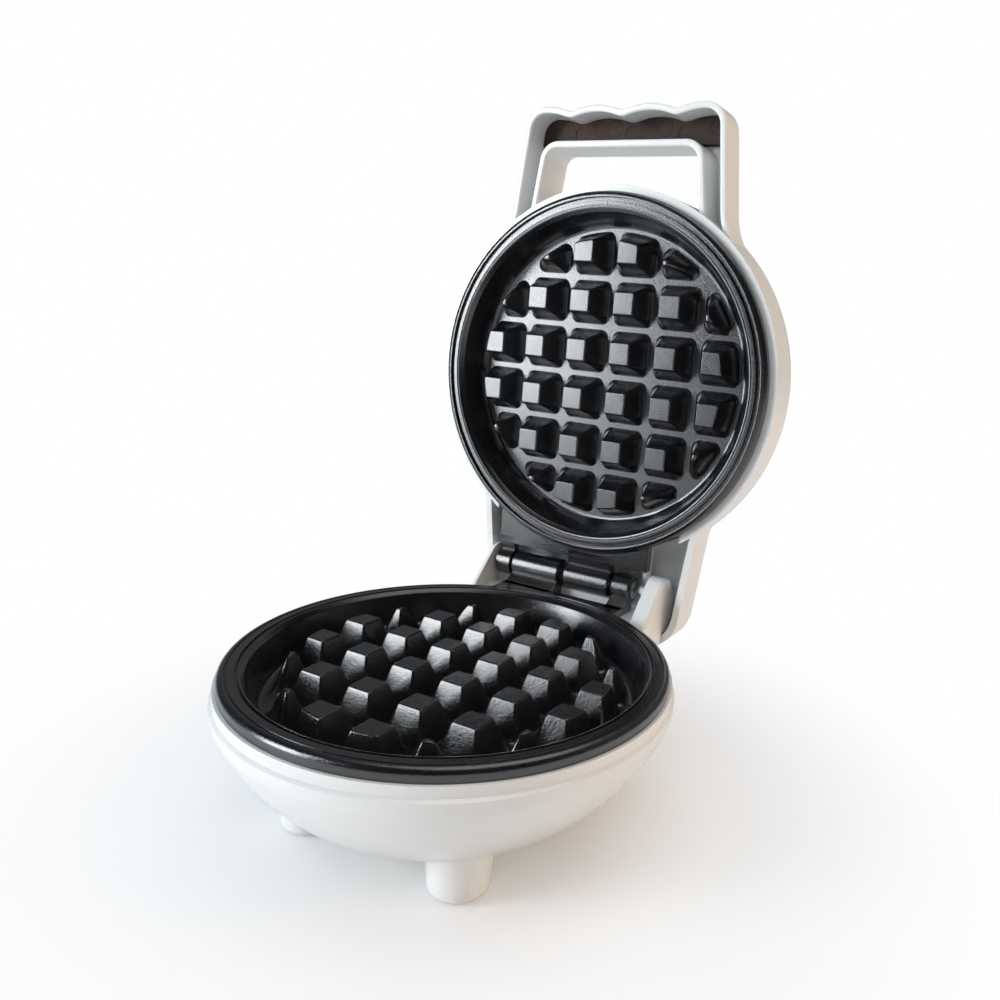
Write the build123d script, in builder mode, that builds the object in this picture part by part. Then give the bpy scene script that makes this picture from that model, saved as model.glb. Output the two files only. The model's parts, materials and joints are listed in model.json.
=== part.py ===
from build123d import *
import math
import os

os.makedirs("parts", exist_ok=True)

# Mini waffle maker, lid open on its stop. Millimetres, +Z up.
# Both halves are drawn closed, about the middle of the lower plate's rim plane, then put in place.

# Heights and the swing
rim_height = 48.2          # lower plate's rim above the table
hinge_reach = 10.5         # hinge axis behind the plate's edge
hinge_z = 4.4              # hinge axis above the rim plane
open_angle = 91.8          # swing from closed to the open stop
plate_gap = 0.4            # between the two rims when closed

# Grill plates
plate_radius = 63.5
skirt_height = 3.6
skirt_wall = 2.2
flange_thickness = 3.0
body_inset = 4.6           # outside of the dish, in from the plate's edge
body_draft = 2.9
lip_inset = 5.9            # where the rim starts to fall into the dish
lip_width = 1.3
lip_drop = 1.3
wall_draft = 2.8
floor_depth = 11.5
floor_thickness = 3.0
bump_pitch = 17.34
bump_rows = 6
bump_base = 14.5
bump_crown = 7.6
bump_crown_depth = 2.1     # crowns lie this far under the rim
bump_corner = 1.6
crown_corner = 0.8
grid_margin = 2.7          # the grid is trimmed to a circle, this far in from the wall's foot
lower_grooves = ((2.3, 0.5, 0.35), (5.1, 0.8, 0.9))      # in from the edge, width, depth
upper_grooves = ((2.9, 1.4, 1.1), (5.2, 0.4, 0.35))

# Hinge knuckles across the hinge, from left to right, and the webs that carry them
knuckle_a = (-34.6, -28.0)
knuckle_b = (-27.3, -7.4)
knuckle_c = (-4.8, 13.4)
knuckle_d = (15.0, 21.8)
upper_web_end = 27.3
knuckle_radius = 5.0
web_front_inset = 13.5     # in from the plate's edge
web_back_gap = 7.6         # in front of the hinge axis
lower_web_drop = 0.5       # lower web's top under the rim plane
upper_web = (2.0, 5.5)     # upper web above the lower rim plane, lid closed
web_notch_x = -23.0
web_notch = 3.0

# Hinge pin
pin_radius = 2.0
pin_clearance = 0.05
pin_head_radius = 3.2
pin_head_height = 0.7
pin_head_gap = 0.2
clip_radius = 3.2
clip_thickness = 0.5
clip_gap = 0.1

# Posts under each plate, which carry the heat shield
post_radius = 3.6
post_inset = 10.0          # in from the dish's foot
post_count = 3
post_turn = 90.0
post_bottom = 25.4

# Heat shields
shield_thickness = 0.6
shield_inset = 5.0         # in from the dish's foot
shield_wall_height = 6.0
shield_slots = (10.0, 27.5)      # from the middle, for the terminals
shield_slot_depth = 11.0
shield_window_radius = 12.0

# Heating elements
element_radius = 3.2
element_inset = 10.0       # in from the posts' circle
element_gap_angle = 70.0
element_bend = 6.0
element_tail = 7.6
element_seat = 0.1
cold_pin_radius = 1.3
cold_pin_length = 4.5
rib_thickness = 1.5
rib_height = 3.6
rib_gap_half_width = 25.0

# Element clamps
clamp_width = 8.0
clamp_length = 20.0
clamp_thickness = 1.2
clamp_post_radius = 2.6
clamp_post_reach = 7.0
clamp_turn = 30.0
small_screw_radius = 1.4
small_screw_head = 2.4
small_screw_head_height = 1.2
small_screw_length = 5.0
small_screw_slot = 0.6
thread_gap = 0.05

# Base housing
wall = 2.2
bowl_proud = 1.7           # outside the plate's edge
neck_inset = 0.9
neck_z = -6.6
step_height = 0.6
shoulder_z = -8.2
shoulder_bend = 8.0
shoulder_turn = 24.0
side_bend = 62.0
side_turn = 30.0
heel_bend = 14.0
ledge_inset = 1.7          # inside the plate's edge
ledge_height = 2.8

# Feet
foot_x = 26.0
front_foot_y = -29.0
rear_foot_y = 46.0         # far back, so that the open lid doesn't tip the part
foot_radius = 8.2
foot_root_radius = 10.9
foot_root_z = -12.0
foot_edge = 2.4
foot_bore = 5.2
foot_bore_top = -28.5
foot_floor = 2.4
pad_radius = 5.2
pad_height = 1.2
pad_proud = 0.6
pad_gap = 0.1

# Hinge tower on the base, as a section across the hinge: back from the axis, above the rim
tower_left = -37.6
tower_right = 34.6
tower_corners = (
    (-17.0, -3.6),
    (-17.0, -14.0),
    (-8.0, -14.0),
    (0.0, -12.2),
    (5.0, -11.5),
    (8.2, -6.0),
    (8.2, 2.0),
)
tower_edge = 1.4
tower_gap = 0.6            # to the lid's skirt, all through the swing
cheek_radius = 6.4
cheek_left = -35.8         # inner face of the thin left cheek
cheek_right = 28.6         # inner face of the wide right cheek
trough_clearance = 0.6
trough_back_z = 2.0
duct_ceiling = -6.4
duct_corners = ((-22.0, -11.8), (-8.0, -11.8), (0.0, -10.0), (4.0, -9.2), (5.8, -6.4))
duct_half_width = 33.0
cheek_bore = (29.4, 33.0)
cheek_bore_radius = 3.4
stop_rib_x = 22.0
stop_rib_width = 6.0
stop_rib_front = -8.0
stop_gap = 0.1

# Base screws
screw_boss_radius = 5.2
screw_radius = 1.9
screw_bore_gap = 0.3
screw_head_radius = 3.3
screw_head_height = 2.2
screw_seat_z = -29.5
screw_grip = 6.0
driver_slot = 0.8

# Cord inlet in the back of the bowl
cord_x = -27.0
cord_z = -21.0
cord_boss_radius = 6.5
cord_boss_depth = 15.8
cord_boss_inset = 5.2      # in from the bowl's edge
cord_hole_radius = 4.6
bushing_gap = 0.1
bushing_lip_radius = 6.0
bushing_lip = 1.6
bushing_collar_radius = 5.0
bushing_collar = 1.0
bushing_bore = 2.9

# Lid housing
dome_proud = 2.5           # outside the plate's edge
dome_wall_top = 18.0
dome_shoulder = 12.0
crown_turn = 6.0
blend_inset = 0.6          # handle and rear skirt grow out of the dome, this far in
rear_face = 21.5           # flat back of handle and rear skirt
rear_edge = 5.0
rear_roof = 2.2
skirt_reach = 20.0         # behind the hinge axis
skirt_half_width = 38.6     # at its back corners
skirt_root_half_width = 45.4
skirt_root_inset = 27.5    # in from the plate's edge
skirt_corner = 14.0
skirt_flare = 12.0
window_half_width = 37.6
window_back_gap = 4.0      # in front of the hinge axis
window_top = 11.6

# Handle
handle_front = 6.0
handle_half_width = 37.6
handle_root_half_width = 42.9
handle_root_inset = 17.5   # in from the plate's edge
handle_reach = 27.5        # plate's edge to the valleys between the finger scallops
scallop_height = 2.0
scallop_pitch = 20.3
valley_fillet = 4.0
handle_corner = 8.0
handle_flare = 24.0
handle_wall = 2.3
handle_edge = 3.4
rim_edge = 0.8
loop_half_width = 30.8
loop_root_half_width = 36.0
loop_root_inset = 18.5     # in from the plate's edge
handle_bar = 9.8           # valleys to the finger opening's collar
loop_corner = 7.0
loop_wall = 2.4

# Grip insert in the handle
insert_front = 15.4
insert_proud = 0.5
insert_gap = 0.1
insert_window_half_width = 29.0
insert_window_height = 5.0
insert_window_inset = 5.8  # in from the valleys
mark_radius = 2.6
mark_depth = 0.2

# Lid fastening
lid_screw_x = 17.0
lid_screw_gap = 11.6       # in front of the hinge axis
lid_boss_radius = 4.2
lid_screw_radius = 1.6
lid_screw_head_radius = 2.7
lid_screw_head_height = 2.0
lid_screw_seat_z = 9.0
lid_screw_depth = 2.6      # thread in the web
hook_arc = 24.0
hook_wall = 2.0
hook_nose = 1.6
hook_thickness = 2.0
hook_gap = 0.1

# Indicator on the lid
lamp_y = -31.0
lens_radius = 4.6
lens_seat_z = 31.3
lens_height = 1.9
lens_edge = 1.2
lens_gap = 0.1
stem_radius = 3.4
stem_bottom_z = 28.0
lens_bore = 2.3
lens_cap_thickness = 1.2
nut_radius = 5.2
nut_seat_z = 28.9
lamp_radius = 1.9
lamp_length = 3.4
lamp_base = 4.6
lamp_base_height = 1.3

# Thermostat, its bracket and the thermal fuse
thermostat_radius = 8.0
thermostat_cap = 3.6
thermostat_body_radius = 6.6
thermostat_tab_y = 5.4
thermostat_tab = (4.0, 1.0, 3.0)
bracket_width = 7.0
bracket_length = 31.0
bracket_post_inset = 3.6
fuse_radius = 2.2
fuse_length = 16.0
fuse_x = -21.0
fuse_y = -4.0

# Terminal block on the bowl's floor
block_length = 24.0
block_width = 10.0
block_height = 6.0
block_y = 16.0
block_pole_pitch = 7.0
block_pole_count = 3
block_pole_radius = 1.6
block_pole_depth = 2.0
block_edge = 0.6

# Leads
lead_radius = 0.65
lead_bend = 2.0
lead_pair = 0.75           # half the distance of two leads in one sleeve
sleeve_radius = 1.5
sleeve_bend = 2.4
sleeve_meet_x = 27.0
sleeve_base_x = 31.2
sleeve_lid_x = 24.4
sleeve_lid_z = 9.5
sleeve_lid_gap = 17.5      # in front of the hinge axis
sleeve_lid_end = 16.0
sleeve_fall = (            # across, back from the hinge axis, above the rim
    (30.5, -22.0, -8.2),
    (29.3, -24.0, -16.0),
    (25.0, -27.2, -23.0),
    (22.0, -36.0, -31.0),
)
supply_dip = (9.6, 6.0)    # supply lead under the heating element
lid_lead_rise = 4.4        # crossing lead over the upper element
over_shield = 0.2          # lamp leads above the upper shield

# Figures that follow from the ones above
hinge_y = plate_radius + hinge_reach
body_radius = plate_radius - body_inset
body_foot_radius = body_radius - body_draft
lip_radius = plate_radius - lip_inset
cavity_radius = lip_radius - lip_width
floor_radius = cavity_radius - wall_draft
bump_circle = floor_radius - grid_margin
web_front = plate_radius - web_front_inset
web_back = hinge_y - web_back_gap
post_circle = body_foot_radius - post_inset
element_ring = post_circle - element_inset
shield_radius = body_foot_radius - shield_inset
shield_slot_front = shield_radius - shield_slot_depth
bowl_radius = plate_radius + bowl_proud
neck_radius = bowl_radius - neck_inset
ledge_radius = plate_radius - ledge_inset
foot_spots = [(x, y) for x in (-foot_x, foot_x) for y in (front_foot_y, rear_foot_y)]
cord_boss_back = bowl_radius - cord_boss_inset
cord_boss_front = cord_boss_back - cord_boss_depth
dome_radius = plate_radius + dome_proud
blend_radius = dome_radius - blend_inset
skirt_back = hinge_y + skirt_reach
skirt_root_y = plate_radius - skirt_root_inset
window_back = hinge_y - window_back_gap
handle_root_y = handle_root_inset - plate_radius
handle_valley = -plate_radius - handle_reach
loop_root_y = loop_root_inset - plate_radius
loop_top = handle_valley + handle_bar
insert_window_y = handle_valley + insert_window_inset
lid_screw_y = hinge_y - lid_screw_gap
sleeve_lid_y = hinge_y - sleeve_lid_gap
sleeve_duct_z = sleeve_fall[0][2]
heel_turn = 90 - shoulder_turn - side_turn
lid_rim = plate_gap + skirt_height
upper_hinge_z = plate_gap - hinge_z
under_face = -floor_depth - floor_thickness
element_z = under_face - element_seat - element_radius
clamp_seat_z = element_z - element_radius
tail_angle = math.radians(90 - element_gap_angle / 2)
tail_x = (element_ring + element_bend) * math.cos(tail_angle) - element_bend
tail_start = (element_ring + element_bend) * math.sin(tail_angle)
tail_end = tail_start + element_tail
cold_pin_end = tail_end + cold_pin_length
shield_z = -post_bottom - shield_thickness
bracket_x = bracket_length / 2 - bracket_post_inset
clamp_screw_circle = element_ring + clamp_post_reach
lens_top = lens_seat_z + lens_height
foot_bottom = pad_proud - rim_height
swing = math.radians(open_angle)


def swung(y, z):
    """a point of the closed lid after it has swung open"""
    out = y - hinge_y
    up = z - hinge_z
    return (
        hinge_y + out * math.cos(swing) + up * math.sin(swing),
        hinge_z - out * math.sin(swing) + up * math.cos(swing),
    )


def turned(span):
    """a span across the hinge as met on the upper plate, which lies face down"""
    return (-span[1], -span[0])


# The footprint is centred: the bowl reaches furthest forward, the lens furthest back
lens_back = swung(lamp_y - lens_radius + lens_edge, lens_top - lens_edge)[0] + lens_edge
plate_y = (bowl_radius - lens_back) / 2

base_place = Location((0, plate_y, rim_height))
lid_place = base_place * Pos(0, hinge_y, hinge_z) * Rot(-open_angle, 0, 0) * Pos(0, -hinge_y, -hinge_z)
upper_place = lid_place * Pos(0, 0, plate_gap) * Rot(0, 180, 0)


def save(builder, name, place):
    """puts a finished piece in its place, labels it and writes it"""
    piece = place * builder.part
    piece.label = name
    export_step(piece, f"parts/{name}.step")


# One pyramid of the waffle grid, and the grid trimmed to a circle
with BuildPart() as bump:
    with BuildSketch(Plane.XY.offset(-floor_depth)):
        RectangleRounded(bump_base, bump_base, bump_corner)
    with BuildSketch(Plane.XY.offset(-bump_crown_depth)):
        RectangleRounded(bump_crown, bump_crown, crown_corner)
    loft()

with BuildPart() as waffle_grid:
    with GridLocations(bump_pitch, bump_pitch, bump_rows, bump_rows):
        add(bump.part)
    with BuildSketch(Plane.XZ):
        with BuildLine():
            Polyline(
                (0, -floor_depth),
                (bump_circle, -floor_depth),
                (bump_circle - (bump_base - bump_crown) / 2, -bump_crown_depth),
                (0, -bump_crown_depth),
                close=True,
            )
        make_face()
    revolve(axis=Axis.Z, mode=Mode.INTERSECT)


# Grill plates: cast dishes with a grid, a skirted rim, a web and hinge knuckles
def grill_plate(grooves, knuckles, axis_z, web, web_span):
    web_low, web_high = web
    under = Plane.XY.offset(under_face)
    with BuildPart() as plate:
        with BuildSketch(Plane.XZ):
            with BuildLine():
                Polyline(
                    (0, -floor_depth),
                    (floor_radius, -floor_depth),
                    (cavity_radius, -lip_drop),
                    (lip_radius, 0),
                    (plate_radius, 0),
                    (plate_radius, -skirt_height),
                    (plate_radius - skirt_wall, -skirt_height),
                    (plate_radius - skirt_wall, -flange_thickness),
                    (body_radius, -flange_thickness),
                    (body_foot_radius, under_face),
                    (0, under_face),
                    close=True,
                )
            make_face()
        revolve(axis=Axis.Z)
        with BuildSketch(Plane.XY.offset(web_low)):
            with Locations(((web_span[0] + web_span[1]) / 2, (web_front + web_back) / 2)):
                Rectangle(web_span[1] - web_span[0], web_back - web_front)
            Circle(body_radius, mode=Mode.SUBTRACT)
        extrude(amount=web_high - web_low)
        for left, right in knuckles:
            with BuildSketch(Plane.YZ.offset(left)):
                with BuildLine():
                    Polyline(
                        (web_back - web_notch, web_low),
                        (hinge_y, web_low),
                        (hinge_y, axis_z),
                        (web_back, web_high),
                        (web_back - web_notch, web_high),
                        close=True,
                    )
                make_face()
                with Locations((hinge_y, axis_z)):
                    Circle(knuckle_radius)
                    Circle(pin_radius + pin_clearance, mode=Mode.SUBTRACT)
            extrude(amount=right - left)
        add(waffle_grid.part)
        for inset, width, depth in grooves:
            radius = plate_radius - inset
            with BuildSketch():
                Circle(radius + width / 2)
                Circle(radius - width / 2, mode=Mode.SUBTRACT)
            extrude(amount=-depth, mode=Mode.SUBTRACT)
        # underside: shield posts, ribs beside the element, posts for clamps and bracket
        with BuildSketch(under):
            with PolarLocations(post_circle, post_count, start_angle=post_turn):
                Circle(post_radius)
        extrude(amount=-post_bottom - under_face)
        with BuildSketch(under):
            for rib in (
                element_ring + element_radius + element_seat,
                element_ring - element_radius - element_seat - rib_thickness,
            ):
                Circle(rib + rib_thickness)
                Circle(rib, mode=Mode.SUBTRACT)
            with Locations((0, element_ring)):
                Rectangle(2 * rib_gap_half_width, element_ring, mode=Mode.SUBTRACT)
        extrude(amount=-rib_height)
        with BuildSketch(under):
            for reach in (-clamp_post_reach, clamp_post_reach):
                with PolarLocations(element_ring + reach, post_count, start_angle=clamp_turn):
                    Circle(clamp_post_radius)
            with Locations((-bracket_x, 0), (bracket_x, 0)):
                Circle(clamp_post_radius)
        extrude(amount=clamp_seat_z - under_face)
        with BuildSketch(Plane.XY.offset(-post_bottom)):
            with PolarLocations(post_circle, post_count, start_angle=post_turn):
                Circle(screw_radius + thread_gap)
        extrude(amount=screw_grip, mode=Mode.SUBTRACT)
        with BuildSketch(Plane.XY.offset(clamp_seat_z)):
            with PolarLocations(clamp_screw_circle, post_count, start_angle=clamp_turn):
                Circle(small_screw_radius + thread_gap)
            with Locations((-bracket_x, 0), (bracket_x, 0)):
                Circle(small_screw_radius + thread_gap)
        extrude(amount=small_screw_length, mode=Mode.SUBTRACT)
    return plate


lower_shape = grill_plate(
    lower_grooves,
    (knuckle_b, knuckle_d),
    hinge_z,
    (-skirt_height, -lower_web_drop),
    (knuckle_b[0], knuckle_d[1]),
)
save(lower_shape, "lower_plate", base_place)

upper_shape = grill_plate(
    upper_grooves,
    (turned(knuckle_a), turned(knuckle_c)),
    upper_hinge_z,
    (plate_gap - upper_web[1], plate_gap - upper_web[0]),
    turned((knuckle_a[0], upper_web_end)),
)

# The upper plate also has a notched web, screw holes in it, and a hook at the front
with BuildPart() as upper_plate:
    add(upper_shape.part)
    with BuildSketch(Plane.XY.offset(plate_gap - upper_web[1])):
        with Locations((-web_notch_x, web_back - web_notch / 2)):
            Rectangle(web_notch, web_notch)
    extrude(amount=upper_web[1] - upper_web[0], mode=Mode.SUBTRACT)
    with BuildSketch(Plane.XY.offset(plate_gap - upper_web[1])):
        with Locations((-lid_screw_x, lid_screw_y), (lid_screw_x, lid_screw_y)):
            Circle(lid_screw_radius + thread_gap)
    extrude(amount=lid_screw_depth, mode=Mode.SUBTRACT)
    hook_z = -skirt_height - ledge_height - hook_gap
    hook_out = plate_radius - skirt_wall
    with BuildSketch(Plane.XZ.rotated((0, 0, -90 - hook_arc / 2))):
        with BuildLine():
            Polyline(
                (hook_out - hook_wall, -flange_thickness),
                (hook_out, -flange_thickness),
                (hook_out, hook_z),
                (hook_out + hook_nose, hook_z),
                (hook_out, hook_z - hook_thickness),
                (hook_out - hook_wall, hook_z - hook_thickness),
                close=True,
            )
        make_face()
    revolve(axis=Axis.Z, revolution_arc=hook_arc)
save(upper_plate, "upper_plate", upper_place)


# Hinge pin with a flat head on the left, and the clip on its right end
pin_left = knuckle_a[0] - pin_head_gap
clip_left = knuckle_d[1] + clip_gap
pin_right = clip_left + clip_thickness
with BuildPart() as hinge_pin:
    with BuildSketch(Plane.YZ.offset(pin_left)):
        with Locations((hinge_y, hinge_z)):
            Circle(pin_radius)
    extrude(amount=pin_right - pin_left)
    with BuildSketch(Plane.YZ.offset(pin_left)):
        with Locations((hinge_y, hinge_z)):
            Circle(pin_head_radius)
    extrude(amount=-pin_head_height)
save(hinge_pin, "hinge_pin", base_place)

with BuildPart() as pin_clip:
    with BuildSketch(Plane.YZ.offset(clip_left)):
        with Locations((hinge_y, hinge_z)):
            Circle(clip_radius)
            Circle(pin_radius, mode=Mode.SUBTRACT)
    extrude(amount=clip_thickness)
save(pin_clip, "pin_clip", base_place)


# Base housing: a bowl with four foot stubs, a hinge tower, screw bosses and a cord inlet
def bowl_section(inset, neck, top):
    with BuildSketch(Plane.XZ) as section:
        with BuildLine():
            rim = Polyline(
                (neck, top),
                (neck, neck_z),
                (bowl_radius - inset, neck_z - step_height),
                (bowl_radius - inset, shoulder_z),
            )
            shoulder = JernArc(rim @ 1, (0, -1), shoulder_bend - inset, -shoulder_turn)
            side = JernArc(shoulder @ 1, shoulder % 1, side_bend - inset, -side_turn)
            heel = JernArc(side @ 1, side % 1, heel_bend - inset, -heel_turn)
            Polyline(heel @ 1, (0, (heel @ 1).Y), (0, top), (neck, top))
        make_face()
    return section


# Plan of the lid's rear skirt, which swings round the hinge tower
def skirt_outline(inset):
    with BuildSketch() as outline:
        with BuildLine():
            Polyline(
                (-skirt_root_half_width + inset, skirt_root_y),
                (-skirt_half_width + inset, skirt_back - inset),
                (skirt_half_width - inset, skirt_back - inset),
                (skirt_root_half_width - inset, skirt_root_y),
                close=True,
            )
        make_face()
        fillet(outline.vertices().sort_by(Axis.Y)[-2:], radius=skirt_corner - inset)
    return outline


with BuildPart() as foot:
    with BuildSketch(Plane.XZ):
        with BuildLine():
            Polyline(
                (0, foot_root_z),
                (foot_root_radius, foot_root_z),
                (foot_radius, foot_bottom),
                (0, foot_bottom),
                close=True,
            )
        make_face()
    revolve(axis=Axis.Z)
    fillet(foot.edges().sort_by(Axis.Z)[0], radius=foot_edge)

rib_top = swung(skirt_back - wall, lid_rim - stop_gap)
rib_end = swung(skirt_back, lid_rim - stop_gap)
with BuildPart() as swing_room:
    with BuildSketch(Plane.XY.offset(hinge_z)):
        add(skirt_outline(wall + tower_gap).sketch)
        with Locations((0, hinge_y - dome_radius)):
            Rectangle(2 * dome_radius, 2 * dome_radius, mode=Mode.SUBTRACT)
    revolve(axis=Axis((0, hinge_y, hinge_z), (1, 0, 0)))
    with BuildSketch(Plane.XY.offset(tower_corners[1][1])):
        with Locations((0, rib_top[0] - dome_radius)):
            Rectangle(2 * dome_radius, 2 * dome_radius)
    extrude(amount=rear_face - tower_corners[1][1])

with BuildPart() as tower:
    with BuildSketch(Plane.YZ.offset(tower_left)):
        with BuildLine():
            Polyline(*((hinge_y + back, z) for back, z in tower_corners), close=True)
        make_face()
        with Locations((hinge_y, hinge_z)):
            Circle(cheek_radius)
        make_hull()
    extrude(amount=tower_right - tower_left)
    fillet(tower.faces().filter_by(Axis.X).edges(), radius=tower_edge)
    add(swing_room.part, mode=Mode.INTERSECT)
    for side in (-1, 1):
        with BuildSketch(Plane.YZ.offset(side * stop_rib_x - stop_rib_width / 2)):
            with BuildLine():
                Polyline(
                    (hinge_y + stop_rib_front, duct_corners[1][1]),
                    (rib_top[0], duct_corners[1][1]),
                    rib_top,
                    rib_end,
                    (hinge_y - knuckle_radius, rib_end[1]),
                    (hinge_y + stop_rib_front, tower_corners[2][1]),
                    close=True,
                )
            make_face()
        extrude(amount=stop_rib_width)

with BuildPart() as bowl_outside:
    add(bowl_section(0, neck_radius, -skirt_height).sketch)
    revolve(axis=Axis.Z)

with BuildPart() as screw_bosses:
    with BuildSketch(Plane.XY.offset(shield_z)):
        with PolarLocations(post_circle, post_count, start_angle=post_turn):
            Circle(screw_boss_radius)
    extrude(amount=foot_bottom - shield_z)
    add(bowl_outside.part, mode=Mode.INTERSECT)

with BuildPart() as base_housing:
    add(bowl_outside.part)
    add(tower.part)
    with Locations(*foot_spots):
        add(foot.part)
    add(bowl_section(wall, bowl_radius - wall, -skirt_height - ledge_height).sketch)
    revolve(axis=Axis.Z, mode=Mode.SUBTRACT)
    with BuildSketch(Plane.XY.offset(-skirt_height - ledge_height)):
        Circle(ledge_radius)
    extrude(amount=ledge_height + wall, mode=Mode.SUBTRACT)
    # feet: a bore from inside, a recess for the pad below
    with BuildSketch(Plane.XY.offset(foot_bore_top)):
        with Locations(*foot_spots):
            Circle(foot_bore)
    extrude(amount=foot_bottom + foot_floor - foot_bore_top, mode=Mode.SUBTRACT)
    with BuildSketch(Plane.XY.offset(foot_bottom)):
        with Locations(*foot_spots):
            Circle(pad_radius + pad_gap)
    extrude(amount=pad_height - pad_proud, mode=Mode.SUBTRACT)
    # hinge trough between the cheeks
    with BuildSketch(Plane.YZ.offset(cheek_left)):
        with Locations((hinge_y, hinge_z)):
            Circle(knuckle_radius + trough_clearance)
        with BuildLine():
            Polyline(
                (web_front, -skirt_height),
                (hinge_y, -skirt_height),
                (hinge_y, trough_back_z),
                (skirt_back, trough_back_z),
                (skirt_back, rear_face),
                (web_front, rear_face),
                close=True,
            )
        make_face()
    extrude(amount=cheek_right - cheek_left, mode=Mode.SUBTRACT)
    # wire duct under the trough, and the bore in the wide cheek
    with BuildSketch(Plane.YZ.offset(-duct_half_width)):
        with BuildLine():
            Polyline(
                *((hinge_y + back, z) for back, z in duct_corners),
                (hinge_y + duct_corners[0][0], duct_ceiling),
                close=True,
            )
        make_face()
    extrude(amount=2 * duct_half_width, mode=Mode.SUBTRACT)
    with BuildSketch(Plane.YZ.offset(cheek_bore[0])):
        with Locations((hinge_y, hinge_z)):
            Circle(cheek_bore_radius)
        with Locations((hinge_y, (hinge_z + sleeve_duct_z) / 2)):
            Rectangle(2 * cheek_bore_radius, hinge_z - sleeve_duct_z)
    extrude(amount=cheek_bore[1] - cheek_bore[0], mode=Mode.SUBTRACT)
    with BuildSketch(Plane.YZ.offset(cheek_right)):
        with Locations((hinge_y, hinge_z)):
            Circle(sleeve_radius + lead_radius)
    extrude(amount=cheek_bore[0] - cheek_right, mode=Mode.SUBTRACT)
    # screw bosses with their wells
    add(screw_bosses.part)
    with BuildSketch(Plane.XY.offset(shield_z)):
        with PolarLocations(post_circle, post_count, start_angle=post_turn):
            Circle(screw_radius + screw_bore_gap)
    extrude(amount=screw_seat_z - shield_z, mode=Mode.SUBTRACT)
    with BuildSketch(Plane.XY.offset(screw_seat_z)):
        with PolarLocations(post_circle, post_count, start_angle=post_turn):
            Circle(screw_head_radius + screw_bore_gap)
    extrude(amount=foot_bottom - screw_seat_z, mode=Mode.SUBTRACT)
    # cord inlet
    with BuildSketch(Plane.XZ.offset(-cord_boss_back)):
        with Locations((cord_x, cord_z)):
            Circle(cord_boss_radius)
    extrude(amount=cord_boss_back - cord_boss_front)
    with BuildSketch(Plane.XZ.offset(-cord_boss_back)):
        with Locations((cord_x, cord_z)):
            Circle(cord_hole_radius)
    extrude(amount=cord_boss_back - cord_boss_front, mode=Mode.SUBTRACT)
save(base_housing, "base_housing", base_place)

with BuildPart() as foot_pad:
    with BuildSketch():
        Circle(pad_radius)
    extrude(amount=pad_height)
for end, y in (("front", front_foot_y), ("rear", rear_foot_y)):
    for side, x in (("left", -foot_x), ("right", foot_x)):
        save(foot_pad, f"foot_pad_{end}_{side}", Location((x, y + plate_y, 0)))


# Lid housing: a dome with a finger handle in front and a skirt round the hinge behind
def dome_section(inset, low):
    with BuildSketch(Plane.XZ) as section:
        with BuildLine():
            side = Line((dome_radius - inset, low), (dome_radius - inset, dome_wall_top))
            shoulder = JernArc(side @ 1, (0, 1), dome_shoulder - inset, 90 - crown_turn)
            crown_bend = (shoulder @ 1).X / math.sin(math.radians(crown_turn))
            crown = JernArc(shoulder @ 1, shoulder % 1, crown_bend, crown_turn)
            Polyline(crown @ 1, (0, low), side @ 0)
        make_face()
    return section


with BuildPart() as rear_skirt:
    with BuildSketch(Plane.XY.offset(lid_rim)) as skirt_sketch:
        Circle(blend_radius)
        add(skirt_outline(0).sketch)
        roots = skirt_sketch.vertices().filter_by(
            lambda v: abs(v.X) > skirt_half_width - wall and v.Y < skirt_back - 2 * skirt_corner
        )
        fillet(roots, radius=skirt_flare)
        with Locations((0, skirt_root_y - dome_radius)):
            Rectangle(2 * dome_radius, 2 * dome_radius, mode=Mode.SUBTRACT)
    extrude(amount=rear_face - lid_rim)
    outer_rim = rear_skirt.faces().sort_by(Axis.Z)[-1].edges().sort_by(Axis.Y)[1:]
    fillet(outer_rim, radius=rear_edge)

with BuildPart() as skirt_hollow:
    with BuildSketch(Plane.XY.offset(lid_rim)):
        add(skirt_outline(wall).sketch)
        Circle(dome_radius, mode=Mode.SUBTRACT)
    extrude(amount=rear_face - rear_roof - lid_rim)
    hollow_rim = skirt_hollow.faces().sort_by(Axis.Z)[-1].edges().sort_by(Axis.Y)[-1]
    fillet(hollow_rim, radius=rear_edge - wall)

# Handle outline with its scallops, and the handle grown out of the dome
crest = handle_valley - scallop_height
outer_valley = 2 * scallop_pitch
with BuildSketch() as handle_body:
    with BuildLine():
        for start in (-outer_valley, -scallop_pitch, 0, scallop_pitch):
            ThreePointArc(
                (start, handle_valley),
                (start + scallop_pitch / 2, crest),
                (start + scallop_pitch, handle_valley),
            )
        Polyline(
            (outer_valley, handle_valley),
            (handle_root_half_width, handle_valley),
            (handle_root_half_width, handle_root_y),
            (-handle_root_half_width, handle_root_y),
            (-handle_root_half_width, handle_valley),
            (-outer_valley, handle_valley),
        )
    make_face()
    with BuildLine():
        Polyline(
            (-handle_root_half_width, handle_root_y),
            (-handle_half_width, crest),
            (handle_half_width, crest),
            (handle_root_half_width, handle_root_y),
            close=True,
        )
    make_face(mode=Mode.INTERSECT)
    fillet(handle_body.vertices().group_by(Axis.Y)[0], radius=handle_corner)
    valleys = handle_body.vertices().filter_by(lambda v: abs(v.X) < scallop_pitch + valley_fillet)
    fillet(valleys, radius=valley_fillet)

with BuildSketch() as handle_outline:
    Circle(blend_radius)
    add(handle_body.sketch)
    corners = handle_outline.vertices().filter_by(
        lambda v: abs(math.hypot(v.X, v.Y) - blend_radius) < blend_inset and abs(v.X) > loop_half_width
    )
    fillet(corners, radius=handle_flare)

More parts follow.
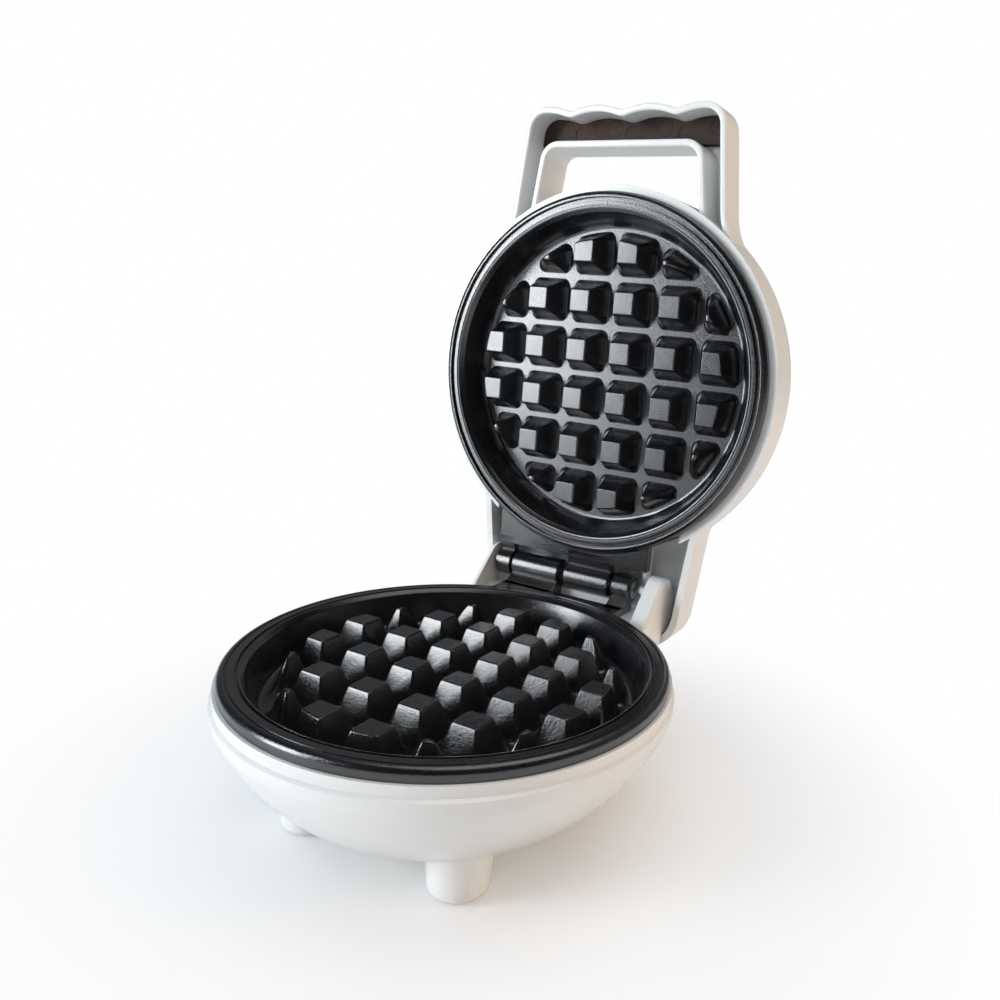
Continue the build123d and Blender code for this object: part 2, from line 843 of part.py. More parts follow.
with BuildSketch() as loop_outline:
    with BuildLine():
        Polyline(
            (-loop_root_half_width, loop_root_y),
            (-loop_half_width, loop_top),
            (loop_half_width, loop_top),
            (loop_root_half_width, loop_root_y),
            close=True,
        )
    make_face()
    fillet(loop_outline.vertices().group_by(Axis.Y)[0], radius=loop_corner)

with BuildPart() as handle:
    with BuildSketch(Plane.XY.offset(handle_front)):
        add(handle_outline.sketch)
        with Locations((0, loop_root_y + dome_radius)):
            Rectangle(2 * dome_radius, 2 * dome_radius, mode=Mode.SUBTRACT)
    extrude(amount=rear_face - handle_front)
    back_rim = handle.faces().sort_by(Axis.Z)[-1].edges().sort_by(Axis.Y)[:-1]
    fillet(back_rim, radius=handle_edge)
    with BuildSketch(Plane.XY.offset(handle_front)):
        offset(handle_outline.sketch, amount=-handle_wall)
        add(loop_outline.sketch, mode=Mode.SUBTRACT)
        Circle(dome_radius, mode=Mode.SUBTRACT)
    extrude(amount=rear_face - handle_wall - handle_front, mode=Mode.SUBTRACT)
    with BuildSketch(Plane.XY.offset(handle_front)):
        offset(loop_outline.sketch, amount=-loop_wall)
        Circle(dome_radius, mode=Mode.SUBTRACT)
    extrude(amount=rear_face - handle_front, mode=Mode.SUBTRACT)
    with BuildSketch(Plane.XY.offset(rear_face)):
        with Locations((0, insert_window_y)):
            SlotOverall(2 * insert_window_half_width, insert_window_height)
    extrude(amount=-handle_wall, mode=Mode.SUBTRACT)
    with BuildSketch(Plane.XY.offset(handle_front)):
        Circle(dome_radius - wall)
    extrude(amount=rear_face - handle_front, mode=Mode.SUBTRACT)
    front_rims = handle.edges().group_by(Axis.Z)[0].filter_by(
        lambda rim: all(math.hypot(end.X, end.Y) > dome_radius - blend_inset / 2 for end in (rim @ 0, rim @ 1))
    )
    fillet(front_rims, radius=rim_edge)

with BuildPart() as lid_outside:
    add(dome_section(0, lid_rim).sketch)
    revolve(axis=Axis.Z)
    add(rear_skirt.part)

shield_back = plate_gap - shield_z
with BuildPart() as lid_bosses:
    with BuildSketch(Plane.XY.offset(shield_back)):
        with PolarLocations(post_circle, post_count, start_angle=post_turn):
            Circle(screw_boss_radius)
    extrude(amount=lens_top - shield_back)
    with BuildSketch(Plane.XY.offset(nut_seat_z)):
        with Locations((0, lamp_y)):
            Circle(nut_radius + wall)
    extrude(amount=lens_top - nut_seat_z)
    with BuildSketch(Plane.XY.offset(upper_web[1])):
        with Locations((-lid_screw_x, lid_screw_y), (lid_screw_x, lid_screw_y)):
            Circle(lid_boss_radius)
    extrude(amount=lens_top - upper_web[1])
    add(lid_outside.part, mode=Mode.INTERSECT)

with BuildPart() as lid_housing:
    add(lid_outside.part)
    add(dome_section(wall, lid_rim + ledge_height).sketch)
    revolve(axis=Axis.Z, mode=Mode.SUBTRACT)
    with BuildSketch(Plane.XY.offset(lid_rim)):
        Circle(ledge_radius)
    extrude(amount=ledge_height, mode=Mode.SUBTRACT)
    add(skirt_hollow.part, mode=Mode.SUBTRACT)
    with BuildSketch(Plane.XY.offset(lid_rim)):
        with Locations((0, (web_front + window_back) / 2)):
            Rectangle(2 * window_half_width, window_back - web_front)
    extrude(amount=window_top - lid_rim, mode=Mode.SUBTRACT)
    add(lid_bosses.part)
    add(handle.part)
    # wells of the two lid screws
    with BuildSketch(Plane.XY.offset(lid_screw_seat_z)):
        with Locations((-lid_screw_x, lid_screw_y), (lid_screw_x, lid_screw_y)):
            Circle(lid_screw_head_radius + screw_bore_gap)
    extrude(amount=lens_top - lid_screw_seat_z, mode=Mode.SUBTRACT)
    with BuildSketch(Plane.XY.offset(lid_screw_seat_z)):
        with Locations((-lid_screw_x, lid_screw_y), (lid_screw_x, lid_screw_y)):
            Circle(lid_screw_radius + screw_bore_gap)
    extrude(amount=upper_web[1] - lid_screw_seat_z, mode=Mode.SUBTRACT)
    # seat and hole of the indicator
    with BuildSketch(Plane.XY.offset(lens_seat_z)):
        with Locations((0, lamp_y)):
            Circle(lens_radius + lens_gap)
    extrude(amount=lens_height, mode=Mode.SUBTRACT)
    with BuildSketch(Plane.XY.offset(lens_seat_z)):
        with Locations((0, lamp_y)):
            Circle(stem_radius + lens_gap)
    extrude(amount=nut_seat_z - lens_seat_z, mode=Mode.SUBTRACT)
save(lid_housing, "lid_housing", lid_place)

# Grip insert: fills the bar of the handle and shows through its back
with BuildPart() as handle_insert:
    with BuildSketch(Plane.XY.offset(insert_front)):
        offset(handle_outline.sketch, amount=-handle_wall - insert_gap)
        with Locations((0, loop_top - insert_gap - dome_radius)):
            Rectangle(2 * dome_radius, 2 * dome_radius, mode=Mode.INTERSECT)
    extrude(amount=rear_face - handle_wall - insert_front)
    with BuildSketch(Plane.XY.offset(insert_front)):
        with Locations((0, insert_window_y)):
            SlotOverall(
                2 * (insert_window_half_width - insert_gap),
                insert_window_height - 2 * insert_gap,
            )
    extrude(amount=rear_face + insert_proud - insert_front)
    with BuildSketch(Plane.XY.offset(insert_front)):
        with Locations(*((side * scallop_pitch, insert_window_y) for side in (-1, 0, 1))):
            Circle(mark_radius)
    extrude(amount=mark_depth, mode=Mode.SUBTRACT)
save(handle_insert, "handle_insert", lid_place)


# Heating element: a sheathed tube bent to a ring, its cold pins pointing back
with BuildPart() as heating_element:
    with BuildLine() as tube_path:
        tail = Line((-tail_x, tail_end), (-tail_x, tail_start))
        bend = JernArc(tail @ 1, (0, -1), element_bend, element_gap_angle / 2 - 90)
        ring = JernArc(bend @ 1, bend % 1, element_ring, 360 - element_gap_angle)
        last_bend = JernArc(ring @ 1, ring % 1, element_bend, element_gap_angle / 2 - 90)
        Line(last_bend @ 1, (tail_x, tail_end))
    with BuildSketch(Plane(origin=tail @ 0, z_dir=tail % 0)):
        Circle(element_radius)
    sweep()
    with BuildSketch(Plane.XZ.offset(-tail_end)):
        with Locations((-tail_x, 0), (tail_x, 0)):
            Circle(cold_pin_radius)
    extrude(amount=-cold_pin_length)

with BuildPart() as element_clamp:
    with BuildSketch():
        SlotOverall(clamp_length, clamp_width)
        with Locations((clamp_post_reach, 0)):
            Circle(small_screw_radius + thread_gap, mode=Mode.SUBTRACT)
    extrude(amount=-clamp_thickness)

with BuildPart() as small_screw:
    with BuildSketch():
        Circle(small_screw_radius)
    extrude(amount=small_screw_length - clamp_thickness)
    with BuildSketch():
        Circle(small_screw_radius)
    extrude(amount=-clamp_thickness)
    with BuildSketch(Plane.XY.offset(-clamp_thickness)):
        Circle(small_screw_head)
    extrude(amount=-small_screw_head_height)
    with BuildSketch(Plane.XY.offset(-clamp_thickness - small_screw_head_height)):
        Rectangle(2 * small_screw_head, small_screw_slot)
    extrude(amount=small_screw_slot, mode=Mode.SUBTRACT)

# Heat shield: a thin pan with slots for the terminals and a window in the middle
with BuildPart() as heat_shield:
    with BuildSketch(Plane.XY.offset(shield_z)):
        Circle(shield_radius)
    extrude(amount=shield_wall_height)
    with BuildSketch(Plane.XY.offset(shield_z + shield_thickness)):
        Circle(shield_radius - shield_thickness)
    extrude(amount=shield_wall_height, mode=Mode.SUBTRACT)
    slot_width = shield_slots[1] - shield_slots[0]
    slot_x = (shield_slots[0] + shield_slots[1]) / 2
    with BuildSketch(Plane.XY.offset(shield_z)):
        Circle(shield_window_radius)
        with PolarLocations(post_circle, post_count, start_angle=post_turn):
            Circle(screw_radius + screw_bore_gap)
        with Locations((-slot_x, shield_radius), (slot_x, shield_radius)):
            Rectangle(slot_width, 2 * (shield_radius - shield_slot_front))
    extrude(amount=shield_wall_height, mode=Mode.SUBTRACT)

for half, place in (("lower", base_place), ("upper", upper_place)):
    save(heating_element, f"{half}_heating_element", place * Pos(0, 0, element_z))
    save(heat_shield, f"{half}_heat_shield", place)
    for count in range(post_count):
        turn = Rot(0, 0, clamp_turn + count * 360 / post_count)
        seat = place * turn * Pos(element_ring, 0, clamp_seat_z)
        save(element_clamp, f"{half}_element_clamp_{count + 1}", seat)
        save(small_screw, f"{half}_clamp_screw_{count + 1}", seat * Pos(clamp_post_reach, 0, 0))


# Screws, drawn with the seat of the head at z 0 and the shank pointing up
def screw(radius, length, head_radius, head_height):
    with BuildPart() as shape:
        with BuildSketch():
            Circle(radius)
        extrude(amount=length)
        with BuildSketch():
            Circle(head_radius)
        extrude(amount=-head_height)
        for turn in (0, 90):
            with BuildSketch(Plane.XY.offset(-head_height)):
                Rectangle(2 * head_radius - 2 * driver_slot, driver_slot, rotation=turn)
            extrude(amount=head_height / 2, mode=Mode.SUBTRACT)
    return shape


base_screw = screw(
    screw_radius,
    screw_grip - post_bottom - screw_seat_z,
    screw_head_radius,
    screw_head_height,
)
for count in range(post_count):
    turn = Rot(0, 0, post_turn + count * 360 / post_count)
    save(base_screw, f"base_screw_{count + 1}", base_place * turn * Pos(post_circle, 0, screw_seat_z))

lid_screw = screw(
    lid_screw_radius,
    lid_screw_seat_z - upper_web[1] + lid_screw_depth,
    lid_screw_head_radius,
    lid_screw_head_height,
)
for side, x in (("left", -lid_screw_x), ("right", lid_screw_x)):
    save(lid_screw, f"lid_screw_{side}", lid_place * Pos(x, lid_screw_y, lid_screw_seat_z) * Rot(180, 0, 0))

# Cord bushing with a lip outside and a collar inside
bushing_radius = cord_hole_radius - bushing_gap
with BuildPart() as cord_bushing:
    with BuildSketch(Plane.XZ.offset(-cord_boss_back)):
        with Locations((cord_x, cord_z)):
            Circle(bushing_radius)
    extrude(amount=cord_boss_back - cord_boss_front)
    with BuildSketch(Plane.XZ.offset(-cord_boss_back)):
        with Locations((cord_x, cord_z)):
            Circle(bushing_lip_radius)
    extrude(amount=-bushing_lip)
    with BuildSketch(Plane.XZ.offset(-cord_boss_front)):
        with Locations((cord_x, cord_z)):
            Circle(bushing_collar_radius)
    extrude(amount=bushing_collar)
    with BuildSketch(Plane.XZ.offset(-cord_boss_back - bushing_lip)):
        with Locations((cord_x, cord_z)):
            Circle(bushing_bore)
    extrude(amount=cord_boss_back - cord_boss_front + bushing_lip + bushing_collar, mode=Mode.SUBTRACT)
save(cord_bushing, "cord_bushing", base_place)

# Thermostat: a disc against the lower plate, held by a bracket on two posts
cap_bottom = under_face - element_seat - thermostat_cap
with BuildPart() as thermostat:
    with BuildSketch(Plane.XY.offset(under_face - element_seat)):
        Circle(thermostat_radius)
    extrude(amount=-thermostat_cap)
    with BuildSketch(Plane.XY.offset(cap_bottom)):
        Circle(thermostat_body_radius)
    extrude(amount=clamp_seat_z - cap_bottom)
    with BuildSketch(Plane.XY.offset(clamp_seat_z)):
        with Locations((0, -thermostat_tab_y), (0, thermostat_tab_y)):
            Rectangle(thermostat_tab[0], thermostat_tab[1])
    extrude(amount=-thermostat_tab[2])
save(thermostat, "thermostat", base_place)

with BuildPart() as thermostat_bracket:
    with BuildSketch(Plane.XY.offset(clamp_seat_z)):
        SlotOverall(bracket_length, bracket_width)
        with Locations((-bracket_x, 0), (bracket_x, 0)):
            Circle(small_screw_radius + thread_gap, mode=Mode.SUBTRACT)
    extrude(amount=-clamp_thickness)
save(thermostat_bracket, "thermostat_bracket", base_place)
for side, x in (("left", -bracket_x), ("right", bracket_x)):
    save(small_screw, f"bracket_screw_{side}", base_place * Pos(x, 0, clamp_seat_z))

fuse_z = under_face - element_seat - fuse_radius
with BuildPart() as thermal_fuse:
    with BuildSketch(Plane.XZ.offset(-fuse_y - fuse_length / 2)):
        with Locations((fuse_x, fuse_z)):
            Circle(fuse_radius)
    extrude(amount=fuse_length)
save(thermal_fuse, "thermal_fuse", base_place)

# Terminal block on the bowl's floor, with three screw poles
bowl_floor = bowl_outside.part.bounding_box().min.Z + wall
with BuildPart() as terminal_block:
    with BuildSketch(Plane.XY.offset(bowl_floor)):
        with Locations((0, block_y)):
            Rectangle(block_length, block_width)
    extrude(amount=block_height)
    fillet(terminal_block.edges().filter_by(Axis.Z), radius=block_edge)
    with BuildSketch(Plane.XY.offset(bowl_floor + block_height)):
        with Locations((0, block_y)):
            with GridLocations(block_pole_pitch, block_pole_pitch, block_pole_count, 1):
                Circle(block_pole_radius)
    extrude(amount=-block_pole_depth, mode=Mode.SUBTRACT)
save(terminal_block, "terminal_block", base_place)


# Leads: round wires along straight runs and bends
def lead(points, radius, bend_radius):
    with BuildPart() as wire:
        with BuildLine() as run:
            FilletPolyline(*points, radius=bend_radius)
        with BuildSketch(Plane(origin=run.line @ 0, z_dir=run.line % 0)):
            Circle(radius)
        sweep()
    return wire


block_back = block_y + block_width / 2
block_wire_z = bowl_floor + block_height / 2
pin_turn_y = cold_pin_end + 2 * lead_bend
supply_lead = lead(
    (
        (0, block_back, block_wire_z),
        (0, block_back + 2 * lead_bend, block_wire_z),
        (tail_x, tail_end, element_z - supply_dip[0]),
        (tail_x, pin_turn_y, element_z - supply_dip[1]),
        (tail_x, pin_turn_y, element_z),
        (tail_x, cold_pin_end, element_z),
    ),
    lead_radius,
    lead_bend,
)
save(supply_lead, "supply_lead", base_place)

tab_bottom = clamp_seat_z - thermostat_tab[2]
tab_out = thermostat_tab_y + thermostat_tab[1] / 2
thermostat_lead = lead(
    (
        (block_pole_pitch / 2, block_y, bowl_floor + block_height),
        (block_pole_pitch / 2, block_y, shield_z - lead_bend),
        (0, thermostat_tab_y, shield_z - lead_bend),
        (0, thermostat_tab_y, tab_bottom),
    ),
    lead_radius,
    lead_bend,
)
save(thermostat_lead, "thermostat_lead", base_place)

lead_level = clamp_seat_z - 2 * clamp_thickness
fuse_front = fuse_y - fuse_length / 2
fuse_back = fuse_y + fuse_length / 2
fuse_lead_front = lead(
    (
        (0, -tab_out, lead_level + 2 * lead_radius),
        (0, fuse_front - 2 * lead_bend, lead_level + 2 * lead_radius),
        (fuse_x, fuse_front - 2 * lead_bend, lead_level + 2 * lead_radius),
        (fuse_x, fuse_front - 2 * lead_bend, fuse_z),
        (fuse_x, fuse_front, fuse_z),
    ),
    lead_radius,
    lead_bend,
)
save(fuse_lead_front, "fuse_lead_front", base_place)

fuse_lead_back = lead(
    (
        (fuse_x, fuse_back, fuse_z),
        (fuse_x, fuse_back + 2 * lead_bend, fuse_z),
        (fuse_x, fuse_back + 2 * lead_bend, lead_level),
        (-shield_slots[0] - lead_bend, shield_slot_front, lead_level),
        (-tail_x, pin_turn_y, lead_level),
        (-tail_x, pin_turn_y, element_z),
        (-tail_x, cold_pin_end, element_z),
    ),
    lead_radius,
    lead_bend,
)
save(fuse_lead_back, "fuse_lead_back", base_place)

# Sleeved lead through the hinge: its halves meet on the axis, where the lid's half turns
base_sleeve = lead(
    (
        (sleeve_meet_x, hinge_y, hinge_z),
        (sleeve_base_x, hinge_y, hinge_z),
        (sleeve_base_x, hinge_y, sleeve_duct_z),
        *((x, hinge_y + back, z) for x, back, z in sleeve_fall),
        (block_pole_pitch + sleeve_radius, block_back + 2 * sleeve_bend, block_wire_z),
        (block_pole_pitch + sleeve_radius, block_back, block_wire_z),
    ),
    sleeve_radius,
    sleeve_bend,
)
save(base_sleeve, "hinge_lead_base", base_place)

lid_sleeve = lead(
    (
        (sleeve_meet_x, hinge_y, hinge_z),
        (sleeve_lid_x, hinge_y, hinge_z),
        (sleeve_lid_x, hinge_y, sleeve_lid_z),
        (sleeve_lid_x, sleeve_lid_y, sleeve_lid_z),
        (sleeve_lid_x, sleeve_lid_y, sleeve_lid_end),
    ),
    sleeve_radius,
    sleeve_bend,
)
save(lid_sleeve, "hinge_lead_lid", lid_place)

upper_element_z = plate_gap - element_z
lid_lead_right = lead(
    (
        (sleeve_lid_x - lead_pair, sleeve_lid_y, sleeve_lid_end),
        (sleeve_lid_x - lead_pair, sleeve_lid_y, upper_element_z),
        (tail_x, cold_pin_end + 2 * lead_bend, upper_element_z),
        (tail_x, cold_pin_end, upper_element_z),
    ),
    lead_radius,
    lead_bend / 2,
)
save(lid_lead_right, "lid_lead_right", lid_place)

crossing_y = cold_pin_end + 3 * lead_bend
crossing_z = upper_element_z + lid_lead_rise
lid_lead_left = lead(
    (
        (sleeve_lid_x + lead_pair, sleeve_lid_y, sleeve_lid_end),
        (sleeve_lid_x + lead_pair, sleeve_lid_y, crossing_z),
        (-tail_x, crossing_y, crossing_z),
        (-tail_x, crossing_y, upper_element_z),
        (-tail_x, cold_pin_end, upper_element_z),
    ),
    lead_radius,
    lead_bend,
)
save(lid_lead_left, "lid_lead_left", lid_place)

# Indicator: lens cap with a hollow stem, push nut under the crown, lamp inside the stem
with BuildPart() as indicator_lens:
    with BuildSketch(Plane.XY.offset(lens_seat_z)):
        with Locations((0, lamp_y)):
            Circle(lens_radius)
    extrude(amount=lens_height)
    fillet(indicator_lens.edges().sort_by(Axis.Z)[-1], radius=lens_edge)
    with BuildSketch(Plane.XY.offset(lens_seat_z)):
        with Locations((0, lamp_y)):
            Circle(stem_radius)
    extrude(amount=stem_bottom_z - lens_seat_z)
    with BuildSketch(Plane.XY.offset(stem_bottom_z)):
        with Locations((0, lamp_y)):
            Circle(lens_bore)
    extrude(amount=lens_top - lens_cap_thickness - stem_bottom_z, mode=Mode.SUBTRACT)
save(indicator_lens, "indicator_lens", lid_place)

with BuildPart() as lens_nut:
    with BuildSketch(Plane.XY.offset(nut_seat_z)):
        with Locations((0, lamp_y)):
            Circle(nut_radius)
            Circle(stem_radius, mode=Mode.SUBTRACT)
    extrude(amount=stem_bottom_z - nut_seat_z)
save(lens_nut, "lens_nut", lid_place)

with BuildPart() as indicator_lamp:
    with BuildSketch(Plane.XY.offset(stem_bottom_z)):
        with Locations((0, lamp_y)):
            Circle(lamp_radius)
    extrude(amount=lamp_length)
    with BuildSketch(Plane.XY.offset(stem_bottom_z)):
        with Locations((0, lamp_y)):
            Rectangle(lamp_base, lamp_base)
    extrude(amount=-lamp_base_height)
save(indicator_lamp, "indicator_lamp", lid_place)

lamp_lead_z = shield_back + over_shield + lead_radius
for side, sign in (("left", -1), ("right", 1)):
    lamp_lead = lead(
        (
            (sign * lamp_base / 4, lamp_y + lamp_base / 2, lamp_lead_z),
            (sign * lamp_base / 4, lamp_y / 2, lamp_lead_z),
            (sign * tail_x, element_ring, lamp_lead_z),
            (sign * tail_x, cold_pin_end - lead_radius, lamp_lead_z),
            (sign * tail_x, cold_pin_end - lead_radius, upper_element_z + cold_pin_radius),
        ),
        lead_radius,
        lead_bend,
    )
    save(lamp_lead, f"lamp_lead_{side}", lid_place)
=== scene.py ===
import json
import math

import bmesh
import bpy
from mathutils import Matrix, Vector


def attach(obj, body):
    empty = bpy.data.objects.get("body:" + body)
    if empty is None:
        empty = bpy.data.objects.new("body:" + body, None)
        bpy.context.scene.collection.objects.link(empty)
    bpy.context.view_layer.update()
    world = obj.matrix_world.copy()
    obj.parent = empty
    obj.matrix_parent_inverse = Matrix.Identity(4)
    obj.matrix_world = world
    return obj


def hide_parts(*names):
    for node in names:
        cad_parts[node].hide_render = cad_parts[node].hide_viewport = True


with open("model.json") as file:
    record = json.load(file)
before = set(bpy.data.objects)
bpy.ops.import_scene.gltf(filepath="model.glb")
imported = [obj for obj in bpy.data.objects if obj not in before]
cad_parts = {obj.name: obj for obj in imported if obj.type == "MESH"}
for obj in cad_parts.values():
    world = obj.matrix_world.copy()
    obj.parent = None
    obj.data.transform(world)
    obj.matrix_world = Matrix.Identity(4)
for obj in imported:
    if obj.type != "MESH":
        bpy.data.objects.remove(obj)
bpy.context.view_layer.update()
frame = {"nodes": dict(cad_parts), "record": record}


# Base housing and lid housing. Two white ABS mouldings: a bowl on four stubby feet with the
# hinge tower behind, and a dome with its handle and rear skirt. Mould-polished, semi-gloss,
# with the faint ripple and dullness that moulded faces have.
def texture(name):
    """an empty texture in object space, told how fine its grain and patches are"""
    group = bpy.data.node_groups.new(name, "ShaderNodeTree")
    for socket in ("Grains per metre", "Patches per metre", "Speckle"):
        group.interface.new_socket(socket, in_out="INPUT", socket_type="NodeSocketFloat")
    for socket in ("Height", "Tone"):
        group.interface.new_socket(socket, in_out="OUTPUT", socket_type="NodeSocketFloat")
    inside = group.nodes.new("NodeGroupInput")
    outside = group.nodes.new("NodeGroupOutput")
    place = group.nodes.new("ShaderNodeTexCoord")
    return group, inside, outside, place


def stretched(group, value):
    """a noise value with its middle part spread over 0 to 1"""
    spread = group.nodes.new("ShaderNodeMapRange")
    spread.inputs["From Min"].default_value = 0.35
    spread.inputs["From Max"].default_value = 0.65
    group.links.new(value, spread.inputs["Value"])
    return spread.outputs["Result"]


def grained(group, inside, place, flatten=(1, 1, 1)):
    """grain height and tone from two noises; flatten below 1 draws the grain out into lines"""
    nodes, links = group.nodes, group.links
    drawn = nodes.new("ShaderNodeVectorMath")
    drawn.operation = "MULTIPLY"
    drawn.inputs[1].default_value = flatten
    grains = nodes.new("ShaderNodeTexNoise")
    grains.inputs["Detail"].default_value = 3.0
    grains.inputs["Roughness"].default_value = 0.6
    patches = nodes.new("ShaderNodeTexNoise")
    patches.inputs["Detail"].default_value = 4.0
    tone = nodes.new("ShaderNodeMix")
    links.new(place.outputs["Object"], drawn.inputs[0])
    links.new(drawn.outputs["Vector"], grains.inputs["Vector"])
    links.new(place.outputs["Object"], patches.inputs["Vector"])
    links.new(inside.outputs["Grains per metre"], grains.inputs["Scale"])
    links.new(inside.outputs["Patches per metre"], patches.inputs["Scale"])
    links.new(inside.outputs["Speckle"], tone.inputs["Factor"])
    links.new(stretched(group, patches.outputs["Fac"]), tone.inputs["A"])
    links.new(stretched(group, grains.outputs["Fac"]), tone.inputs["B"])
    return grains.outputs["Fac"], tone.outputs["Result"]


def grain_texture(name, flatten=(1, 1, 1)):
    """plain grain and patches; flatten below 1 draws them out into lines"""
    group, inside, outside, place = texture(name)
    height, tone = grained(group, inside, place, flatten)
    group.links.new(height, outside.inputs["Height"])
    group.links.new(tone, outside.inputs["Tone"])
    return group


fine_grain = grain_texture("fine_grain")


def finish_with(name, pattern, colours, roughness, grains, patches, speckle, depth, **sockets):
    """a finish whose colour and gloss follow a texture's tone, and its bump the height"""
    material = bpy.data.materials.new(name)
    material.use_nodes = True
    nodes, links = material.node_tree.nodes, material.node_tree.links
    shader = nodes["Principled BSDF"]
    for socket, value in sockets.items():
        shader.inputs[socket.replace("_", " ")].default_value = value
    grain = nodes.new("ShaderNodeGroup")
    grain.node_tree = pattern
    grain.inputs["Grains per metre"].default_value = grains
    grain.inputs["Patches per metre"].default_value = patches
    grain.inputs["Speckle"].default_value = speckle
    colour = nodes.new("ShaderNodeMix")
    colour.data_type = "RGBA"
    colour.inputs["A"].default_value = (*colours[0], 1)
    colour.inputs["B"].default_value = (*colours[1], 1)
    gloss = nodes.new("ShaderNodeMapRange")
    gloss.inputs["To Min"].default_value = roughness[0]
    gloss.inputs["To Max"].default_value = roughness[1]
    bump = nodes.new("ShaderNodeBump")
    bump.inputs["Strength"].default_value = 1.0
    bump.inputs["Distance"].default_value = depth
    links.new(grain.outputs["Tone"], colour.inputs["Factor"])
    links.new(colour.outputs["Result"], shader.inputs["Base Color"])
    links.new(grain.outputs["Tone"], gloss.inputs["Value"])
    links.new(gloss.outputs["Result"], shader.inputs["Roughness"])
    links.new(grain.outputs["Height"], bump.inputs["Height"])
    links.new(bump.outputs["Normal"], shader.inputs["Normal"])
    return material


def paint(slot_name, material):
    """gives the frame's own solids of one slot their finish"""
    for part in frame["record"]["subparts"]:
        if part["material_slot"] == slot_name:
            for place in frame["nodes"][part["node"]].material_slots:
                place.link = "OBJECT"
                place.material = material


paint("white_shell", finish_with(
    "white_plastic", fine_grain, ((0.805, 0.805, 0.79), (0.82, 0.82, 0.805)), (0.24, 0.27),
    1400, 60, 0.3, 0.000006, Specular_IOR_Level=0.5, Coat_Weight=0.3, Coat_Roughness=0.1,
))


# Foot pads and cord bushing. Black rubber: four thin discs pressed into the feet, and a
# ribbed collar in the cord hole. Dull, dusty grey where they are touched.
paint("foot_pad", finish_with(
    "pad_rubber", fine_grain, ((0.012, 0.012, 0.012), (0.030, 0.029, 0.028)), (0.72, 0.9),
    3500, 220, 0.5, 0.00008, Specular_IOR_Level=0.3,
))
paint("black_rubber", finish_with(
    "bushing_rubber", fine_grain, ((0.016, 0.016, 0.017), (0.034, 0.033, 0.033)), (0.55, 0.7),
    2600, 140, 0.3, 0.00005, Specular_IOR_Level=0.35,
))


# Heat shields. Two pans pressed from thin aluminised sheet, screwed between heating tube
# and housing. Bright, with the crystal patches of the dipped coat and soft rolling lines.
spangle, inside, outside, place = texture("spangle")
rolled = grained(spangle, inside, place, flatten=(1, 0.04, 1))[0]
crystals = spangle.nodes.new("ShaderNodeTexVoronoi")
shade = spangle.nodes.new("ShaderNodeSeparateColor")
spangle.links.new(place.outputs["Object"], crystals.inputs["Vector"])
spangle.links.new(inside.outputs["Patches per metre"], crystals.inputs["Scale"])
spangle.links.new(crystals.outputs["Color"], shade.inputs["Color"])
spangle.links.new(shade.outputs["Red"], outside.inputs["Tone"])
spangle.links.new(rolled, outside.inputs["Height"])
paint("shield_sheet", finish_with(
    "aluminised_sheet", spangle, ((0.66, 0.66, 0.65), (0.78, 0.78, 0.77)), (0.26, 0.44),
    2200, 260, 0.0, 0.00003, Metallic=1.0,
))


# Heating tubes. A steel sheath bent to an open ring, filled with packed powder round its
# wire. Dull and browned in bands where it has glowed.
paint("element_sheath", finish_with(
    "heated_sheath", fine_grain, ((0.20, 0.17, 0.14), (0.38, 0.37, 0.35)), (0.42, 0.62),
    2600, 95, 0.2, 0.00004, Metallic=1.0,
))


# Clamps, brackets, screws, pin clip and lens nut. Zinc-plated steel, pressed or headed,
# with the clouded, slightly blue plate of cheap fixings.
paint("zinc_steel", finish_with(
    "zinc_plate", fine_grain, ((0.54, 0.56, 0.59), (0.68, 0.68, 0.65)), (0.24, 0.42),
    2500, 420, 0.25, 0.00003, Metallic=1.0,
))


# Thermostat. A dark phenolic moulding that a bracket and two screws hold flat to the plate,
# with a dry, mottled face.
paint("thermostat_body", finish_with(
    "phenolic", fine_grain, ((0.10, 0.075, 0.058), (0.15, 0.115, 0.09)), (0.45, 0.6),
    2800, 500, 0.4, 0.00004, Specular_IOR_Level=0.45,
))


# Terminal block. An unglazed white ceramic block on the bowl's floor, where the leads end.
# Pressed and fired, so it is chalky, with grey handling marks.
paint("ceramic_block", finish_with(
    "unglazed_ceramic", fine_grain, ((0.72, 0.70, 0.65), (0.86, 0.84, 0.79)), (0.7, 0.88),
    3600, 260, 0.35, 0.00007, Specular_IOR_Level=0.4,
))


# Thermal fuse and the two leads through the hinge. Both wear woven glass sleeving: two
# sets of slanting strands that cross over and under.
weave, inside, outside, place = texture("weave")
strands = []
for slant in (1, -1):
    turned = weave.nodes.new("ShaderNodeVectorMath")
    turned.operation = "MULTIPLY"
    turned.inputs[1].default_value = (1, slant, 1)
    strand = weave.nodes.new("ShaderNodeTexWave")
    strand.bands_direction = "DIAGONAL"
    strand.inputs["Distortion"].default_value = 0.4
    weave.links.new(place.outputs["Object"], turned.inputs[0])
    weave.links.new(turned.outputs["Vector"], strand.inputs["Vector"])
    weave.links.new(inside.outputs["Grains per metre"], strand.inputs["Scale"])
    strands.append(strand.outputs["Fac"])
crossed = weave.nodes.new("ShaderNodeMath")
crossed.operation = "MAXIMUM"
for strand, socket in zip(strands, crossed.inputs):
    weave.links.new(strand, socket)
weave.links.new(crossed.outputs["Value"], outside.inputs["Height"])
weave.links.new(crossed.outputs["Value"], outside.inputs["Tone"])
paint("fuse_sleeve", finish_with(
    "fuse_sleeving", weave, ((0.50, 0.47, 0.40), (0.82, 0.80, 0.72)), (0.6, 0.85),
    700, 0, 0.0, 0.00012, Sheen_Weight=0.2,
))
